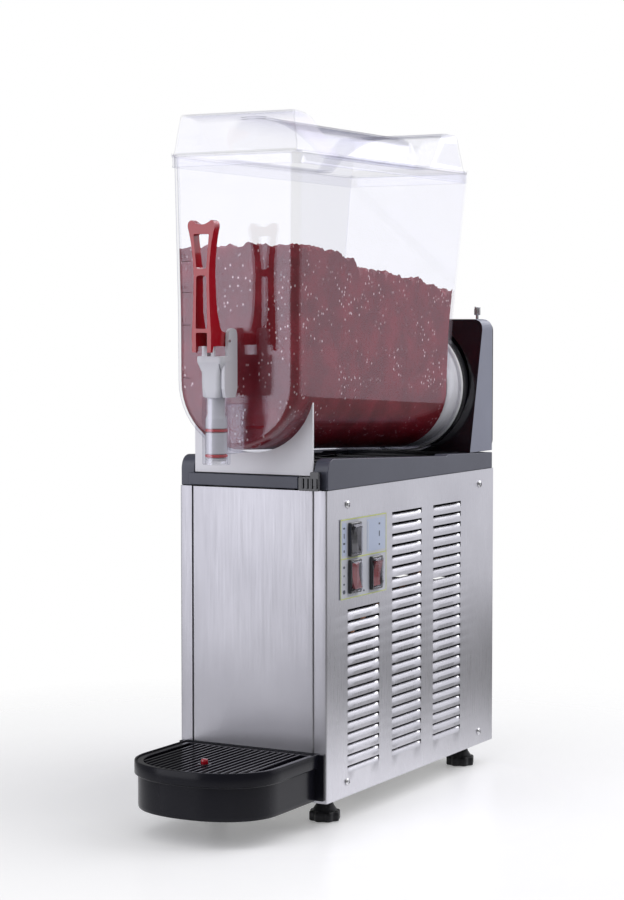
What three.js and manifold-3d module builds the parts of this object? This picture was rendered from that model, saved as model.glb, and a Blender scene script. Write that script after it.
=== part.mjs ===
// Single-bowl frozen-drink (slush) machine, built as separate pieces.
// Millimetres, +Z up. X is the width, the tap side faces -Y, and the feet stand on Z = 0.
// Inside the machine group, Y = 0 is the front face of the steel body.

import * as THREE from 'three';
import { mergeVertices } from 'three/addons/utils/BufferGeometryUtils.js';
import Module from 'manifold-3d';

const wasm = await Module();
wasm.setup();

// ---------- driving dimensions ----------

const GAP = 0.3;                    // clearance between neighbouring pieces
const SHEET = 1.5;                  // stainless sheet
const FINE = 24;                    // sides of a large round piece
const MEDIUM = 16;
const SMALL = 12;

const BODY_WIDTH = 200;
const BODY_DEPTH = 467;
const BODY_BOTTOM = 29;
const BODY_TOP = 394.4;
const HALF = BODY_WIDTH / 2;
const CORNER_STRIP = 16.5;          // width of the side panels' folded front edges
const SEAM = 1;

const TRAY_REACH = 165;             // how far the drip tray stands out in front
const TRAY_RIM_TOP = 88;
const TRAY_BOTTOM = 32;
const TRAY_HOOK_X = 50;
const FLOAT_Y = -108;

const FOOT_X = 74;
const FOOT_FRONT_Y = 43;
const FOOT_REAR_Y = 420;
const FOOT_RADIUS = 19;

const AXIS_TILT = THREE.MathUtils.degToRad(2.4);   // the cooling cylinder rises towards the front
const AXIS_REAR_Y = 400;            // where the cylinder axis meets the bowl's rear edge
const AXIS_REAR_Z = 503;

const BOWL_RADIUS = 83;
const BOWL_WALL = 3;
const BOWL_TOP = 781.7;
const BOWL_HALF_TOP = 86.2;
const BOWL_CORNER = 12;
const COLLAR_DEPTH = 45;

const DRUM_RADIUS = 55;
const DRUM_FRONT = 395;             // distance of the drum's front end from the bowl's rear edge
const AUGER_RADIUS = 74;
const AUGER_PITCH = 96;

const LID_HALF = 89;
const LID_WALL = 2.5;
const LID_FRONT = -43;
const LID_REAR = 412.7;
const LID_TOP = 833;

const LID_FOOT = 770;               // the lower edge of the lid's skirt
const LID_PLATE = 783;              // the humps and the ridge rise from here

const TAP_Y = -80;
const TAP_PIN_Z = 568;
const PISTON_RING_SEATS = [437, 466];
const TUBE_OUTER = 16;
const TUBE_INNER = 13;
const TUBE_BOTTOM = 427;
const TUBE_TOP = 503;

const CASING_DECK = 411;            // top of the deck under the bowl
const RAIL_INNER = 81.5;

const TOWER_TOP = 593;
const TOWER_WALL = 3;
const TOWER_FOOT_Y = 393;           // the front face passes here at the height TOWER_FOOT_Z
const TOWER_FOOT_Z = 419;
const TOWER_LEAN = 0.23;            // how far the front face leans back for each mm of height

const DENSITY_SCREW = { x: 85, y: 445 };
const FAN = { y: 380, z: 144 };     // the fan shroud's place and the fan's height
const POWER_INLET = { x: -60, z: 58 };

const SWITCH_PLATE_X = HALF + GAP;
const SWITCH_PLATE_THICK = 1;
const SWITCHES = [
  { name: 'power', y: 63.5, z: 334, tilt: 8, colour: 0x17171a },
  { name: 'mixer', y: 63.5, z: 290, tilt: -8, colour: 0xa3101d },
  { name: 'cooling', y: 118, z: 289, tilt: 8, colour: 0xa3101d },
];

const LOUVRE_LENGTH = 82;
const LOUVRE_SLOT = 4;
const LOUVRE_PITCH = 13.3;
const LOUVRE_BOTTOM_Z = 65;
const LOUVRE_COLUMNS = [
  { y: 51.5, count: 15 },
  { y: 167, count: 23 },
  { y: 282, count: 23 },
];
const PANEL_SCREWS = [
  { name: 'front_top', y: 50.7, z: 375.7 },
  { name: 'front_bottom', y: 50.7, z: 46.3 },
  { name: 'rear_top', y: 421.2, z: 375.7 },
  { name: 'rear_bottom', y: 421.2, z: 46.3 },
];

// ---------- finishes ----------

const finish = (color, roughness, metalness) => ({ color, roughness, metalness });
const STEEL = finish(0xc8c6cb, 0.32, 0.9);
const BRIGHT_STEEL = finish(0xd6d6da, 0.2, 1);
const ZINC = finish(0xa9acb0, 0.45, 0.8);
const SLATE = finish(0x50525a, 0.45, 0);
const GLOSS_BLACK = finish(0x1a1b1f, 0.18, 0);
const MATT_BLACK = finish(0x1d1e20, 0.6, 0);
const CLEAR = finish(0xdfe6ee, 0.05, 0);
const WHITE = finish(0xefeff2, 0.35, 0);
const RED = finish(0xc1101f, 0.28, 0);
const COPPER = finish(0xb87045, 0.3, 1);
const ALUMINIUM = finish(0xb9bcc0, 0.4, 0.9);
const PAINTED_BLACK = finish(0x111214, 0.4, 0.2);
const LABEL = finish(0xc9cbd3, 0.4, 0.2);

// ---------- solids ----------

function signedVolume(positions, triangles) {
  let sum = 0;
  const [a, b, c] = [new THREE.Vector3(), new THREE.Vector3(), new THREE.Vector3()];
  for (let i = 0; i < triangles.length; i += 3) {
    a.fromArray(positions, triangles[i] * 3);
    b.fromArray(positions, triangles[i + 1] * 3);
    c.fromArray(positions, triangles[i + 2] * 3);
    sum += a.dot(b.cross(c));
  }
  return sum / 6;
}

// Turns a closed geometry into a manifold solid with its faces pointing out.
function solid(geometry) {
  const bare = geometry.clone();
  bare.deleteAttribute('normal');
  bare.deleteAttribute('uv');
  const merged = mergeVertices(bare, 1e-4);
  const positions = merged.attributes.position.array;
  const index = merged.index.array;
  const triangles = [];
  for (let i = 0; i < index.length; i += 3) {
    const [p, q, r] = [index[i], index[i + 1], index[i + 2]];
    if (p !== q && q !== r && r !== p) triangles.push(p, q, r);
  }
  if (signedVolume(positions, triangles) < 0) triangles.reverse();
  const vertProperties = new Float32Array(positions);
  const triVerts = new Uint32Array(triangles);
  return new wasm.Manifold(new wasm.Mesh({ numProp: 3, vertProperties, triVerts }));
}

const join = (...solids) => solids.reduce((sum, next) => sum.add(next));
const cut = (body, ...tools) => tools.reduce((rest, tool) => rest.subtract(tool), body);

// A box between two values on each axis. Every corner takes those values exactly,
// so faces of neighbouring boxes that share a value lie in one plane.
function block(alongX, alongY, alongZ) {
  const box = new THREE.BoxGeometry(1, 1, 1);
  const corners = box.attributes.position;
  const pick = (range, value) => (value < 0 ? Math.min(...range) : Math.max(...range));
  for (let i = 0; i < corners.count; i += 1) {
    const [x, y, z] = [corners.getX(i), corners.getY(i), corners.getZ(i)];
    corners.setXYZ(i, pick(alongX, x), pick(alongY, y), pick(alongZ, z));
  }
  return solid(box);
}

function outline(points) {
  return new THREE.Shape(points.map(([u, v]) => new THREE.Vector2(u, v)));
}

const ALONG_X = new THREE.Matrix4().set(0, 0, 1, 0, 1, 0, 0, 0, 0, 1, 0, 0, 0, 0, 0, 1);
const ALONG_Y = new THREE.Matrix4().set(1, 0, 0, 0, 0, 0, -1, 0, 0, 1, 0, 0, 0, 0, 0, 1);

// An extrusion whose two ends lie exactly at the given places.
function extrusion(shape, from, to, curveSegments) {
  const options = { depth: 1, curveSegments, bevelEnabled: false };
  const geometry = new THREE.ExtrudeGeometry(shape, options);
  const points = geometry.attributes.position;
  for (let i = 0; i < points.count; i += 1) points.setZ(i, points.getZ(i) < 0.5 ? from : to);
  return geometry;
}

// A (y, z) outline pushed along X.
function prismX(shape, x0, x1, segments = SMALL) {
  return solid(extrusion(shape, x0, x1, segments).applyMatrix4(ALONG_X));
}

// An (x, z) outline pushed along Y.
function prismY(shape, y0, y1, segments = SMALL) {
  return solid(extrusion(shape, -y1, -y0, segments).applyMatrix4(ALONG_Y));
}

// An (x, y) outline pushed along Z.
function prismZ(shape, z0, z1, segments = SMALL) {
  return solid(extrusion(shape, z0, z1, segments));
}

const TURN = {
  x: (geometry) => geometry.rotateZ(-Math.PI / 2),
  y: (geometry) => geometry,
  z: (geometry) => geometry.rotateX(Math.PI / 2),
};

// A profile of [radius, distance along the axis] points, turned about X, Y or Z.
function turned(profile, axis, [x, y, z] = [0, 0, 0], segments = MEDIUM) {
  const points = profile.map(([radius, along]) => new THREE.Vector2(radius, along));
  return solid(TURN[axis](new THREE.LatheGeometry(points, segments)).translate(x, y, z));
}

function rod(radius, from, to, axis, at, segments = MEDIUM) {
  return turned([[0, from], [radius, from], [radius, to], [0, to]], axis, at, segments);
}

function ring(inner, outer, from, to, axis, at, segments = MEDIUM) {
  const profile = [[inner, from], [outer, from], [outer, to], [inner, to], [inner, from]];
  return turned(profile, axis, at, segments);
}

function torus(major, minor, axis, at, segments = MEDIUM, sides = 8) {
  const profile = [];
  for (let i = 0; i <= sides; i += 1) {
    const turn = ((i % sides) / sides) * 2 * Math.PI;
    profile.push([major + minor * Math.cos(turn), minor * Math.sin(turn)]);
  }
  return turned(profile, axis, at, segments);
}

function roundedRect(x0, x1, y0, y1, radius) {
  const shape = new THREE.Shape();
  shape.moveTo(x0 + radius, y0);
  shape.lineTo(x1 - radius, y0);
  shape.absarc(x1 - radius, y0 + radius, radius, -Math.PI / 2, 0);
  shape.absarc(x1 - radius, y1 - radius, radius, 0, Math.PI / 2);
  shape.absarc(x0 + radius, y1 - radius, radius, Math.PI / 2, Math.PI);
  shape.absarc(x0 + radius, y0 + radius, radius, Math.PI, 1.5 * Math.PI);
  return shape;
}

// A round bar of the given number of sides bent along a curve.
function bar(curve, radius, steps, sides = 8) {
  const section = new THREE.Shape();
  section.absarc(0, 0, radius, 0, 2 * Math.PI);
  const options = { steps, extrudePath: curve, curveSegments: sides / 2, bevelEnabled: false };
  return solid(new THREE.ExtrudeGeometry(section, options));
}

// A closed skin over a list of rings with equal numbers of points.
function skin(rings) {
  const count = rings[0].length;
  const positions = rings.flat(2);
  const index = [];
  for (let i = 0; i + 1 < rings.length; i += 1) {
    for (let j = 0; j < count; j += 1) {
      const [a, b] = [i * count + j, i * count + ((j + 1) % count)];
      index.push(a, b, b + count, a, b + count, a + count);
    }
  }
  const last = (rings.length - 1) * count;
  for (let j = 1; j + 1 < count; j += 1) {
    index.push(0, j + 1, j, last, last + j, last + j + 1);
  }
  const geometry = new THREE.BufferGeometry();
  geometry.setAttribute('position', new THREE.BufferAttribute(new Float32Array(positions), 3));
  geometry.setIndex(index);
  return solid(geometry);
}

class Helix extends THREE.Curve {
  constructor(radius, pitch, turns, start) {
    super();
    Object.assign(this, { radius, pitch, turns, start });
  }

  getPoint(t, target = new THREE.Vector3()) {
    const turn = t * this.turns * 2 * Math.PI;
    const along = this.start + t * this.turns * this.pitch;
    return target.set(this.radius * Math.cos(turn), this.radius * Math.sin(turn), along);
  }
}

// ---------- scene graph ----------

const machine = new THREE.Group();
machine.position.y = TRAY_REACH - (TRAY_REACH + BODY_DEPTH) / 2;

// The cooling cylinder's own frame: its origin is on the bowl's rear edge and -Y runs forward.
const cylinder = new THREE.Group();
cylinder.position.set(0, AXIS_REAR_Y, AXIS_REAR_Z);
cylinder.rotation.x = -AXIS_TILT;
machine.add(cylinder);
cylinder.updateMatrix();

// Takes a geometry's solid from the cylinder's frame into the machine's.
function tilted(body) {
  return body.transform(cylinder.matrix.elements);
}

function add(name, body, look, parent = machine) {
  const { vertProperties, triVerts } = body.getMesh();
  const geometry = new THREE.BufferGeometry();
  geometry.setAttribute('position', new THREE.BufferAttribute(vertProperties, 3));
  geometry.setIndex(new THREE.BufferAttribute(triVerts, 1));
  const mesh = new THREE.Mesh(geometry, new THREE.MeshStandardMaterial(look));
  mesh.name = name;
  parent.add(mesh);
}

// ---------- steel body ----------

// The pan's plan, with its front corners notched round the front panel's folded edges.
function panOutline(inset) {
  const [x, notch] = [HALF - SHEET - 1 - inset, HALF - CORNER_STRIP - SEAM - 2 - inset];
  const [y0, y1, step] = [3 + inset, BODY_DEPTH - 3 - inset, 12 + inset];
  return outline([
    [-notch, y0], [notch, y0], [notch, step], [x, step], [x, y1], [-x, y1], [-x, step],
    [-notch, step],
  ]);
}

function basePan() {
  const floor = BODY_BOTTOM + 2;
  const outer = prismZ(panOutline(0), BODY_BOTTOM, floor + 12);
  const inner = prismZ(panOutline(2), floor, floor + 20);
  const holes = [];
  for (const y of [FOOT_FRONT_Y, FOOT_REAR_Y]) {
    for (const side of [-1, 1]) {
      holes.push(rod(4.6, BODY_BOTTOM - 5, floor + 5, 'z', [side * FOOT_X, y, 0], SMALL));
    }
  }
  for (let i = 0; i < 6; i += 1) {
    const y = 250 + i * 16;
    holes.push(block([-40, 40], [y, y + 6], [BODY_BOTTOM - 5, floor + 5]));
  }
  add('base_pan', cut(outer, inner, ...holes), ZINC);
}

function foot(name, x, y) {
  const lobes = 8;
  const points = [];
  for (let i = 0; i < lobes * 3; i += 1) {
    const turn = (i / (lobes * 3)) * 2 * Math.PI;
    const radius = FOOT_RADIUS - 1.2 + 1.2 * Math.cos(turn * lobes);
    points.push([x + radius * Math.cos(turn), y + radius * Math.sin(turn)]);
  }
  const wheel = prismZ(outline(points), 0, 12);
  const top = BODY_BOTTOM - GAP;
  const cone = turned([[0, 11], [15, 11], [15, 13], [8, top], [0, top]], 'z', [x, y, 0], SMALL);
  const stud = rod(4, top - 1, 46, 'z', [x, y, 0], SMALL);
  add(name, join(wheel, cone, stud), MATT_BLACK);
}

function feet() {
  foot('foot_front_left', -FOOT_X, FOOT_FRONT_Y);
  foot('foot_front_right', FOOT_X, FOOT_FRONT_Y);
  foot('foot_rear_left', -FOOT_X, FOOT_REAR_Y);
  foot('foot_rear_right', FOOT_X, FOOT_REAR_Y);
}

// Four posts with rails along the top of both sides, and cross bars at three places.
function chassisFrame() {
  const [bottom, top, post] = [BODY_BOTTOM + 2 + GAP, BODY_TOP - 2 - GAP, 12];
  const [x, y0, y1] = [HALF - 6, 14, BODY_DEPTH - 14];
  const voids = [
    block([post - x, x - post], [y0 + post, y1 - post], [0, top + 10]),
    block([-x - 5, x + 5], [y0 + post + 2, y1 - post - 2], [0, top - post]),
    block([post - x + 2, x - post - 2], [y0 - 5, y0 + post + 5], [bottom + post, top - post - 1]),
    block([post - x + 2, x - post - 2], [y1 - post - 5, y1 + 5], [bottom + post, top + 10]),
  ];
  for (const y of [FOOT_FRONT_Y, FOOT_REAR_Y]) {
    for (const side of [-1, 1]) voids.push(rod(6, 0, 60, 'z', [side * FOOT_X, y, 0], SMALL));
  }
  add('chassis_frame', cut(block([-x, x], [y0, y1], [bottom, top]), ...voids), ZINC);
}

// A front sheet whose two upright edges are folded back, with slots for the tray's hooks.
function frontPanel() {
  const [x, fold] = [HALF - CORNER_STRIP - SEAM, 10];
  const plan = outline([
    [-x, 0], [x, 0], [x, fold], [x - SHEET, fold], [x - SHEET, SHEET],
    [SHEET - x, SHEET], [SHEET - x, fold], [-x, fold],
  ]);
  const slots = [-TRAY_HOOK_X, TRAY_HOOK_X].map((at) => (
    block([at - 11, at + 11], [-5, 5], [57, 66])));
  add('front_panel', cut(prismZ(plan, BODY_BOTTOM + GAP, BODY_TOP - GAP), ...slots), STEEL);
}

function louvreSlots(side) {
  const slots = [];
  for (const { y, count } of LOUVRE_COLUMNS) {
    for (let i = 0; i < count; i += 1) {
      const z = LOUVRE_BOTTOM_Z + i * LOUVRE_PITCH;
      const reach = [side * (HALF - 5), side * (HALF + 5)];
      slots.push(block(reach, [y, y + LOUVRE_LENGTH], [z - LOUVRE_SLOT, z]));
    }
  }
  return slots;
}

// A side sheet with its front and rear edges folded round the corners.
function sidePanel(name, side) {
  const [edge, inner] = [HALF - CORNER_STRIP, HALF - SHEET];
  const plan = outline([
    [edge, 0], [HALF, 0], [HALF, BODY_DEPTH], [edge, BODY_DEPTH],
    [edge, BODY_DEPTH - SHEET], [inner, BODY_DEPTH - SHEET], [inner, SHEET], [edge, SHEET],
  ].map(([x, y]) => [side * x, y]));
  const sheet = prismZ(plan, BODY_BOTTOM, BODY_TOP);
  const holes = louvreSlots(side);
  for (const { y, z } of PANEL_SCREWS) {
    holes.push(rod(2.6, HALF - 5, HALF + 5, 'x', [side > 0 ? 0 : -2 * HALF, y, z], SMALL));
  }
  if (side > 0) {
    for (const { y, z } of SWITCHES) {
      holes.push(block([HALF - 5, HALF + 5], [y - 12, y + 12], [z - 19, z + 19]));
    }
  }
  add(name, cut(sheet, ...holes), STEEL);
}

function panelScrews() {
  for (const { name, y, z } of PANEL_SCREWS) {
    const head = HALF + GAP;
    const profile = [
      [0, HALF - 5], [1.9, HALF - 5], [1.9, head], [4.6, head], [4.6, head + 1], [2.6, head + 2.6],
      [0, head + 2.8],
    ];
    add(`panel_screw_${name}`, turned(profile, 'x', [0, y, z], 8), BRIGHT_STEEL);
  }
}

function rearPanel() {
  const x = HALF - CORNER_STRIP - SEAM;
  const y = BODY_DEPTH - SHEET;
  const sheet = block([-x, x], [y, BODY_DEPTH], [BODY_BOTTOM + GAP, BODY_TOP - GAP]);
  const holes = [rod(9.5, y - 5, BODY_DEPTH + 5, 'y', [POWER_INLET.x, 0, POWER_INLET.z], SMALL)];
  for (let i = 0; i < 15; i += 1) {
    const z = 80 + i * LOUVRE_PITCH;
    for (const at of [-68, 6]) {
      holes.push(block([at, at + 62], [y - 5, BODY_DEPTH + 5], [z, z + LOUVRE_SLOT]));
    }
  }
  add('rear_panel', cut(sheet, ...holes), STEEL);
}

function powerInlet() {
  const at = [POWER_INLET.x, 0, POWER_INLET.z];
  const flange = rod(13, BODY_DEPTH + GAP, BODY_DEPTH + 3, 'y', at, SMALL);
  const neck = rod(9, BODY_DEPTH - 16, BODY_DEPTH + 2, 'y', at, SMALL);
  const bore = rod(4, BODY_DEPTH - 20, BODY_DEPTH + 8, 'y', at, SMALL);
  add('power_inlet', cut(join(flange, neck), bore), MATT_BLACK);
}

// ---------- controls on the right side ----------

function switchPlate() {
  const [y0, y1, z0, z1] = [31.3, 149, 264, 359];
  const x1 = SWITCH_PLATE_X + SWITCH_PLATE_THICK;
  const holes = SWITCHES.map(({ y, z }) => (
    block([HALF - 5, HALF + 5], [y - 12, y + 12], [z - 19, z + 19])));
  add('switch_plate', cut(block([SWITCH_PLATE_X, x1], [y0, y1], [z0, z1]), ...holes), LABEL);
}

function rockerSwitch({ name, y, z, tilt, colour }) {
  const face = SWITCH_PLATE_X + SWITCH_PLATE_THICK + GAP;
  const bezel = block([face, face + 4], [y - 13.5, y + 13.5], [z - 20, z + 20]);
  const body = block([82, face + 1], [y - 11.5, y + 11.5], [z - 18.5, z + 18.5]);
  const well = block([95.5, face + 10], [y - 9.6, y + 9.6], [z - 16.8, z + 16.8]);
  add(`switch_body_${name}`, cut(join(bezel, body), well), MATT_BLACK);

  const profile = new THREE.Shape();
  profile.moveTo(-13, -4);
  profile.lineTo(13, -4);
  profile.lineTo(15.2, 4.6);
  profile.quadraticCurveTo(8, 2.6, 0, 2.4);
  profile.quadraticCurveTo(-8, 2.6, -15.2, 4.6);
  const rocker = extrusion(profile, -9, 9, 3);
  const group = new THREE.Group();
  group.position.set(face + 0.6, y, z);
  group.rotation.y = THREE.MathUtils.degToRad(tilt);
  machine.add(group);
  const upright = new THREE.Matrix4().set(0, 1, 0, 0, 0, 0, 1, 0, 1, 0, 0, 0, 0, 0, 0, 1);
  add(`rocker_${name}`, solid(rocker.applyMatrix4(upright)), finish(colour, 0.25, 0), group);
}

function controlBox() {
  const outer = block([56, 96], [36, 144], [262, 364]);
  const inner = block([58, 100], [38, 142], [264, 362]);
  const gland = rod(6, 250, 275, 'z', [76, 60, 0], SMALL);
  add('control_box', cut(outer, inner, gland), ZINC);
}

// ---------- top casing ----------

function railOutline() {
  const shape = new THREE.Shape();
  const bottom = BODY_TOP + GAP;
  shape.moveTo(3, bottom);
  shape.lineTo(BODY_DEPTH - 5, bottom);
  shape.lineTo(BODY_DEPTH - 5, 415.7);
  shape.lineTo(325, 419.8);
  shape.lineTo(321, 417.7);
  shape.lineTo(18, 431);
  shape.quadraticCurveTo(5, 430, 3, 416);
  return shape;
}

function topCasing() {
  const bottom = BODY_TOP + GAP;
  const rails = [
    prismX(railOutline(), -HALF, -RAIL_INNER, 6),
    prismX(railOutline(), RAIL_INNER, HALF, 6),
  ];
  const deck = block([-RAIL_INNER - 2, RAIL_INNER + 2], [8, BODY_DEPTH - 5], [bottom, CASING_DECK]);
  const band = block([-88, 62], [-1, 9], [396, 410]);
  const hollow = block([-RAIL_INNER - 10, RAIL_INNER + 10], [12, BODY_DEPTH - 9],
    [bottom - 5, CASING_DECK - 3]);
  const gearOpening = block([-60, 60], [412, 458], [CASING_DECK - 10, CASING_DECK + 10]);
  const pipeOpening = rod(9, CASING_DECK - 10, CASING_DECK + 10, 'z', [72, 430, 0], SMALL);
  const body = cut(join(...rails, deck, band), hollow, gearOpening, pipeOpening);
  add('top_casing', body, SLATE);
}

function bowlCatch() {
  const [y0, y1] = [-9, -1.2];
  const grip = block([67, 94], [y0, y1], [394.5, 410.6]);
  const finger = block([RAIL_INNER + 1, 94], [y0, y1], [400, 417]);
  const ribs = [72, 78, 84, 90].map((x) => block([x, x + 2.4], [y0 - 1.4, y0 + 1], [397, 409]));
  add('bowl_catch', join(grip, finger, ...ribs), MATT_BLACK);
}

// ---------- rear tower ----------

// The tower's leaning front face, seen from the side.
const towerFront = (z) => TOWER_FOOT_Y + (z - TOWER_FOOT_Z) * TOWER_LEAN;

function towerSide() {
  const [low, rear] = [418.1, BODY_DEPTH - 5];
  return outline([
    [towerFront(low), low], [rear, low - 2], [rear, TOWER_TOP], [towerFront(TOWER_TOP), TOWER_TOP],
  ]);
}

// The same outline inside the walls, open below and behind.
function towerHollow() {
  const [low, top, rear] = [400, TOWER_TOP - TOWER_WALL, BODY_DEPTH + 15];
  const front = (z) => towerFront(z) + TOWER_WALL * 1.03;
  return outline([[front(low), low], [rear, low], [rear, top], [front(top), top]]);
}

function towerFace(inset, bottom) {
  return roundedRect(-HALF + 0.5 + inset, HALF - 0.5 - inset, bottom, TOWER_TOP - inset, 16 - inset);
}

function towerHousing() {
  const [front, rear] = [380, BODY_DEPTH + 20];
  const square = block([-HALF, HALF], [front, rear], [400, 500]);
  const squareInside = block([-HALF + 3.5, HALF - 3.5], [front, rear], [390, 500]);
  const outer = join(prismY(towerFace(0, 440), front, rear, 5), square)
    .intersect(prismX(towerSide(), -HALF - 5, HALF + 5));
  const inner = join(prismY(towerFace(TOWER_WALL, 440), front, rear, 5), squareInside)
    .intersect(prismX(towerHollow(), -HALF - 5, HALF + 5));
  const flangeHole = tilted(rod(89, -60, 60, 'y', [0, 0, 0], FINE));
  const screwAt = [DENSITY_SCREW.x, DENSITY_SCREW.y, 0];
  const screwHole = rod(2.6, TOWER_TOP - 10, TOWER_TOP + 10, 'z', screwAt, SMALL);
  add('tower_housing', cut(outer, inner, flangeHole, screwHole), GLOSS_BLACK);
}

function towerRearCover() {
  const y = BODY_DEPTH - 5 + GAP;
  const plate = prismY(roundedRect(-HALF + 1, HALF - 1, 417.5, TOWER_TOP - 1, 15), y, y + 3, 4);
  const slots = [];
  for (let i = 0; i < 7; i += 1) {
    slots.push(block([-45, 45], [y - 5, y + 8], [452 + i * 12, 456 + i * 12]));
  }
  add('tower_rear_cover', cut(plate, ...slots), MATT_BLACK);
}

function densityScrew() {
  const knob = [
    [0, 562], [2, 562], [2, 598], [3.4, 598], [4.15, 599], [4.15, 608.4], [3.2, 609.4], [0, 609.4],
  ];
  add('density_screw', turned(knob, 'z', [DENSITY_SCREW.x, DENSITY_SCREW.y, 0], SMALL), BRIGHT_STEEL);
}

function loadSwitch() {
  const body = block([70, 92], [436, 446], [538, 556]);
  const lever = block([74, 90], [438, 444], [555, 559.5]);
  add('load_microswitch', join(body, lever), MATT_BLACK);
}

// ---------- drive and cooling cylinder, in the cylinder's own frame ----------

function evaporatorFlange() {
  const boss = rod(69.7, -30, 6, 'y', [0, 0, 0], FINE);
  const plate = rod(88, 5, 12, 'y', [0, 0, 0], FINE);
  const bore = rod(9, -40, 20, 'y', [0, 0, 0]);
  const pipeHole = rod(7, -40, 20, 'y', [40, 0, 0], SMALL);
  add('evaporator_flange', cut(join(boss, plate), bore, pipeHole), GLOSS_BLACK, cylinder);
}

function bowlGasket() {
  const profile = [
    [70, -30], [78, -30], [79.2, -24], [79.2, 0.4], [84, 0.4], [84, 4.6], [70, 4.6], [70, -30],
  ];
  add('bowl_gasket', turned(profile, 'y', [0, 0, 0], FINE), WHITE, cylinder);
}

function evaporatorDrum() {
  const [rear, front] = [-30.3, -DRUM_FRONT];
  const profile = [
    [DRUM_RADIUS - 2.5, rear], [DRUM_RADIUS - 2.5, front + 4], [8.5, front + 4], [8.5, front],
    [DRUM_RADIUS - 6, front], [DRUM_RADIUS, front + 6], [DRUM_RADIUS, rear],
    [DRUM_RADIUS - 2.5, rear],
  ];
  add('evaporator_drum', turned(profile, 'y', [0, 0, 0], FINE), BRIGHT_STEEL, cylinder);
}

function evaporatorCoil() {
  const helix = bar(new Helix(46, 54, 6, 0), 4, 66, 5);
  add('evaporator_coil', helix.rotate([-90, 0, 0]).translate([0, -370, 0]), COPPER, cylinder);
}

function driveShaft() {
  const shaft = rod(6, -DRUM_FRONT - 24, 34, 'y', [0, 0, 0], SMALL);
  const nose = block([-4.2, 4.2], [-DRUM_FRONT - 28, -DRUM_FRONT - 10], [-4.2, 4.2]);
  add('drive_shaft', join(shaft, nose), BRIGHT_STEEL, cylinder);
}

function shaftSeal() {
  const front = -DRUM_FRONT - GAP;
  add('shaft_seal', ring(6.3, 14, front - 5, front, 'y', [0, 0, 0]), WHITE, cylinder);
}

// A spiral blade round the drum, with ribs along it and a spoked nose on the shaft.
function auger() {
  const [inner, thick] = [DRUM_RADIUS + 3, 6];
  const [rear, front] = [-42, -DRUM_FRONT + 2];
  const turns = (rear - front - thick) / AUGER_PITCH;
  const steps = Math.round(turns * 18);
  const rings = [];
  for (let i = 0; i <= steps; i += 1) {
    const turn = (i / steps) * turns * 2 * Math.PI;
    const along = front + (i / steps) * turns * AUGER_PITCH;
    const [c, s] = [Math.cos(turn), Math.sin(turn)];
    rings.push([
      [inner * c, along, inner * s],
      [AUGER_RADIUS * c, along, AUGER_RADIUS * s],
      [AUGER_RADIUS * c, along + thick, AUGER_RADIUS * s],
      [inner * c, along + thick, inner * s],
    ]);
  }
  const nose = -DRUM_FRONT - 8;
  const pieces = [ring(6.4, 16, nose - 14, nose, 'y', [0, 0, 0])];
  for (let i = 0; i < 3; i += 1) {
    const at = (i / 3) * 360;
    const spoke = block([10, AUGER_RADIUS - 3], [nose - 10, nose - 3], [-5, 5]);
    const rib = block([inner + 0.5, inner + 7], [nose - 9, rear - 1], [-4, 4]);
    pieces.push(spoke.rotate([0, at, 0]), rib.rotate([0, at, 0]));
  }
  add('auger', join(skin(rings), ...pieces), WHITE, cylinder);
}

function gearbox() {
  const shell = block([-52, 28], [16, 44], [-54, 58]);
  const neck = rod(16, 12.4, 18, 'y', [0, 0, 0]);
  const bore = rod(6.4, 0, 36, 'y', [0, 0, 0]);
  const lugs = [block([-66, -50], [20, 28], [-20, 20]), block([-30, 10], [20, 28], [56, 70])];
  add('gearbox', cut(join(shell, neck, ...lugs), bore), ALUMINIUM, cylinder);
}

function gearMotor() {
  const [y, z] = [436, 300];
  const can = turned([[0, z], [18, z], [21, z + 4], [21, 440], [0, 440]], 'z', [0, y, 0]);
  const spigot = rod(9, 300, 446, 'z', [0, y, 0], SMALL);
  add('gear_motor', join(can, spigot).translate([0, 0, -3]), PAINTED_BLACK);
}

// ---------- refrigeration in the base ----------

function compressor() {
  const profile = [
    [0, 48], [52, 48], [62, 64], [62, 138], [54, 162], [34, 176], [0, 180],
  ];
  const shell = turned(profile, 'z', [0, 160, 0], 24);
  const plate = block([-70, 70], [96, 224], [44, 49]);
  const grommets = [];
  for (const x of [-60, 60]) {
    for (const y of [106, 214]) {
      grommets.push(rod(8, BODY_BOTTOM + 2 + GAP, 46, 'z', [x, y, 0], SMALL));
    }
  }
  const terminal = block([56, 74], [140, 180], [96, 134]);
  add('compressor', join(shell, plate, ...grommets, terminal), PAINTED_BLACK);
}

function condenser() {
  const core = block([-78, 78], [396, 436], [48, 240]);
  const plinth = block([-58, 58], [400, 432], [BODY_BOTTOM + 2 + GAP, 50]);
  const grooves = [];
  for (let i = 0; i < 15; i += 1) {
    const z = 56 + i * 12;
    grooves.push(block([-68, 68], [390, 402], [z, z + 7]));
  }
  add('condenser', cut(join(core, plinth), ...grooves), ALUMINIUM);
}

function fanShroud() {
  const { y, z } = FAN;
  const plate = block([-78, 78], [y + 10, y + 13], [50, 238]);
  const duct = ring(70, 74, y - 8, y + 12, 'y', [0, 0, z], FINE);
  const opening = rod(70, y - 20, y + 20, 'y', [0, 0, z], FINE);
  const arms = [];
  for (let i = 0; i < 3; i += 1) {
    const arm = block([26, 73], [y - 8, y - 5], [-4, 4]).rotate([0, i * 120 + 90, 0]);
    arms.push(arm.translate([0, 0, z]));
  }
  const hub = ring(22.3, 30, y - 8, y - 5, 'y', [0, 0, z]);
  add('fan_shroud', join(cut(plate, opening), duct, ...arms, hub), MATT_BLACK);
}

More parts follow.
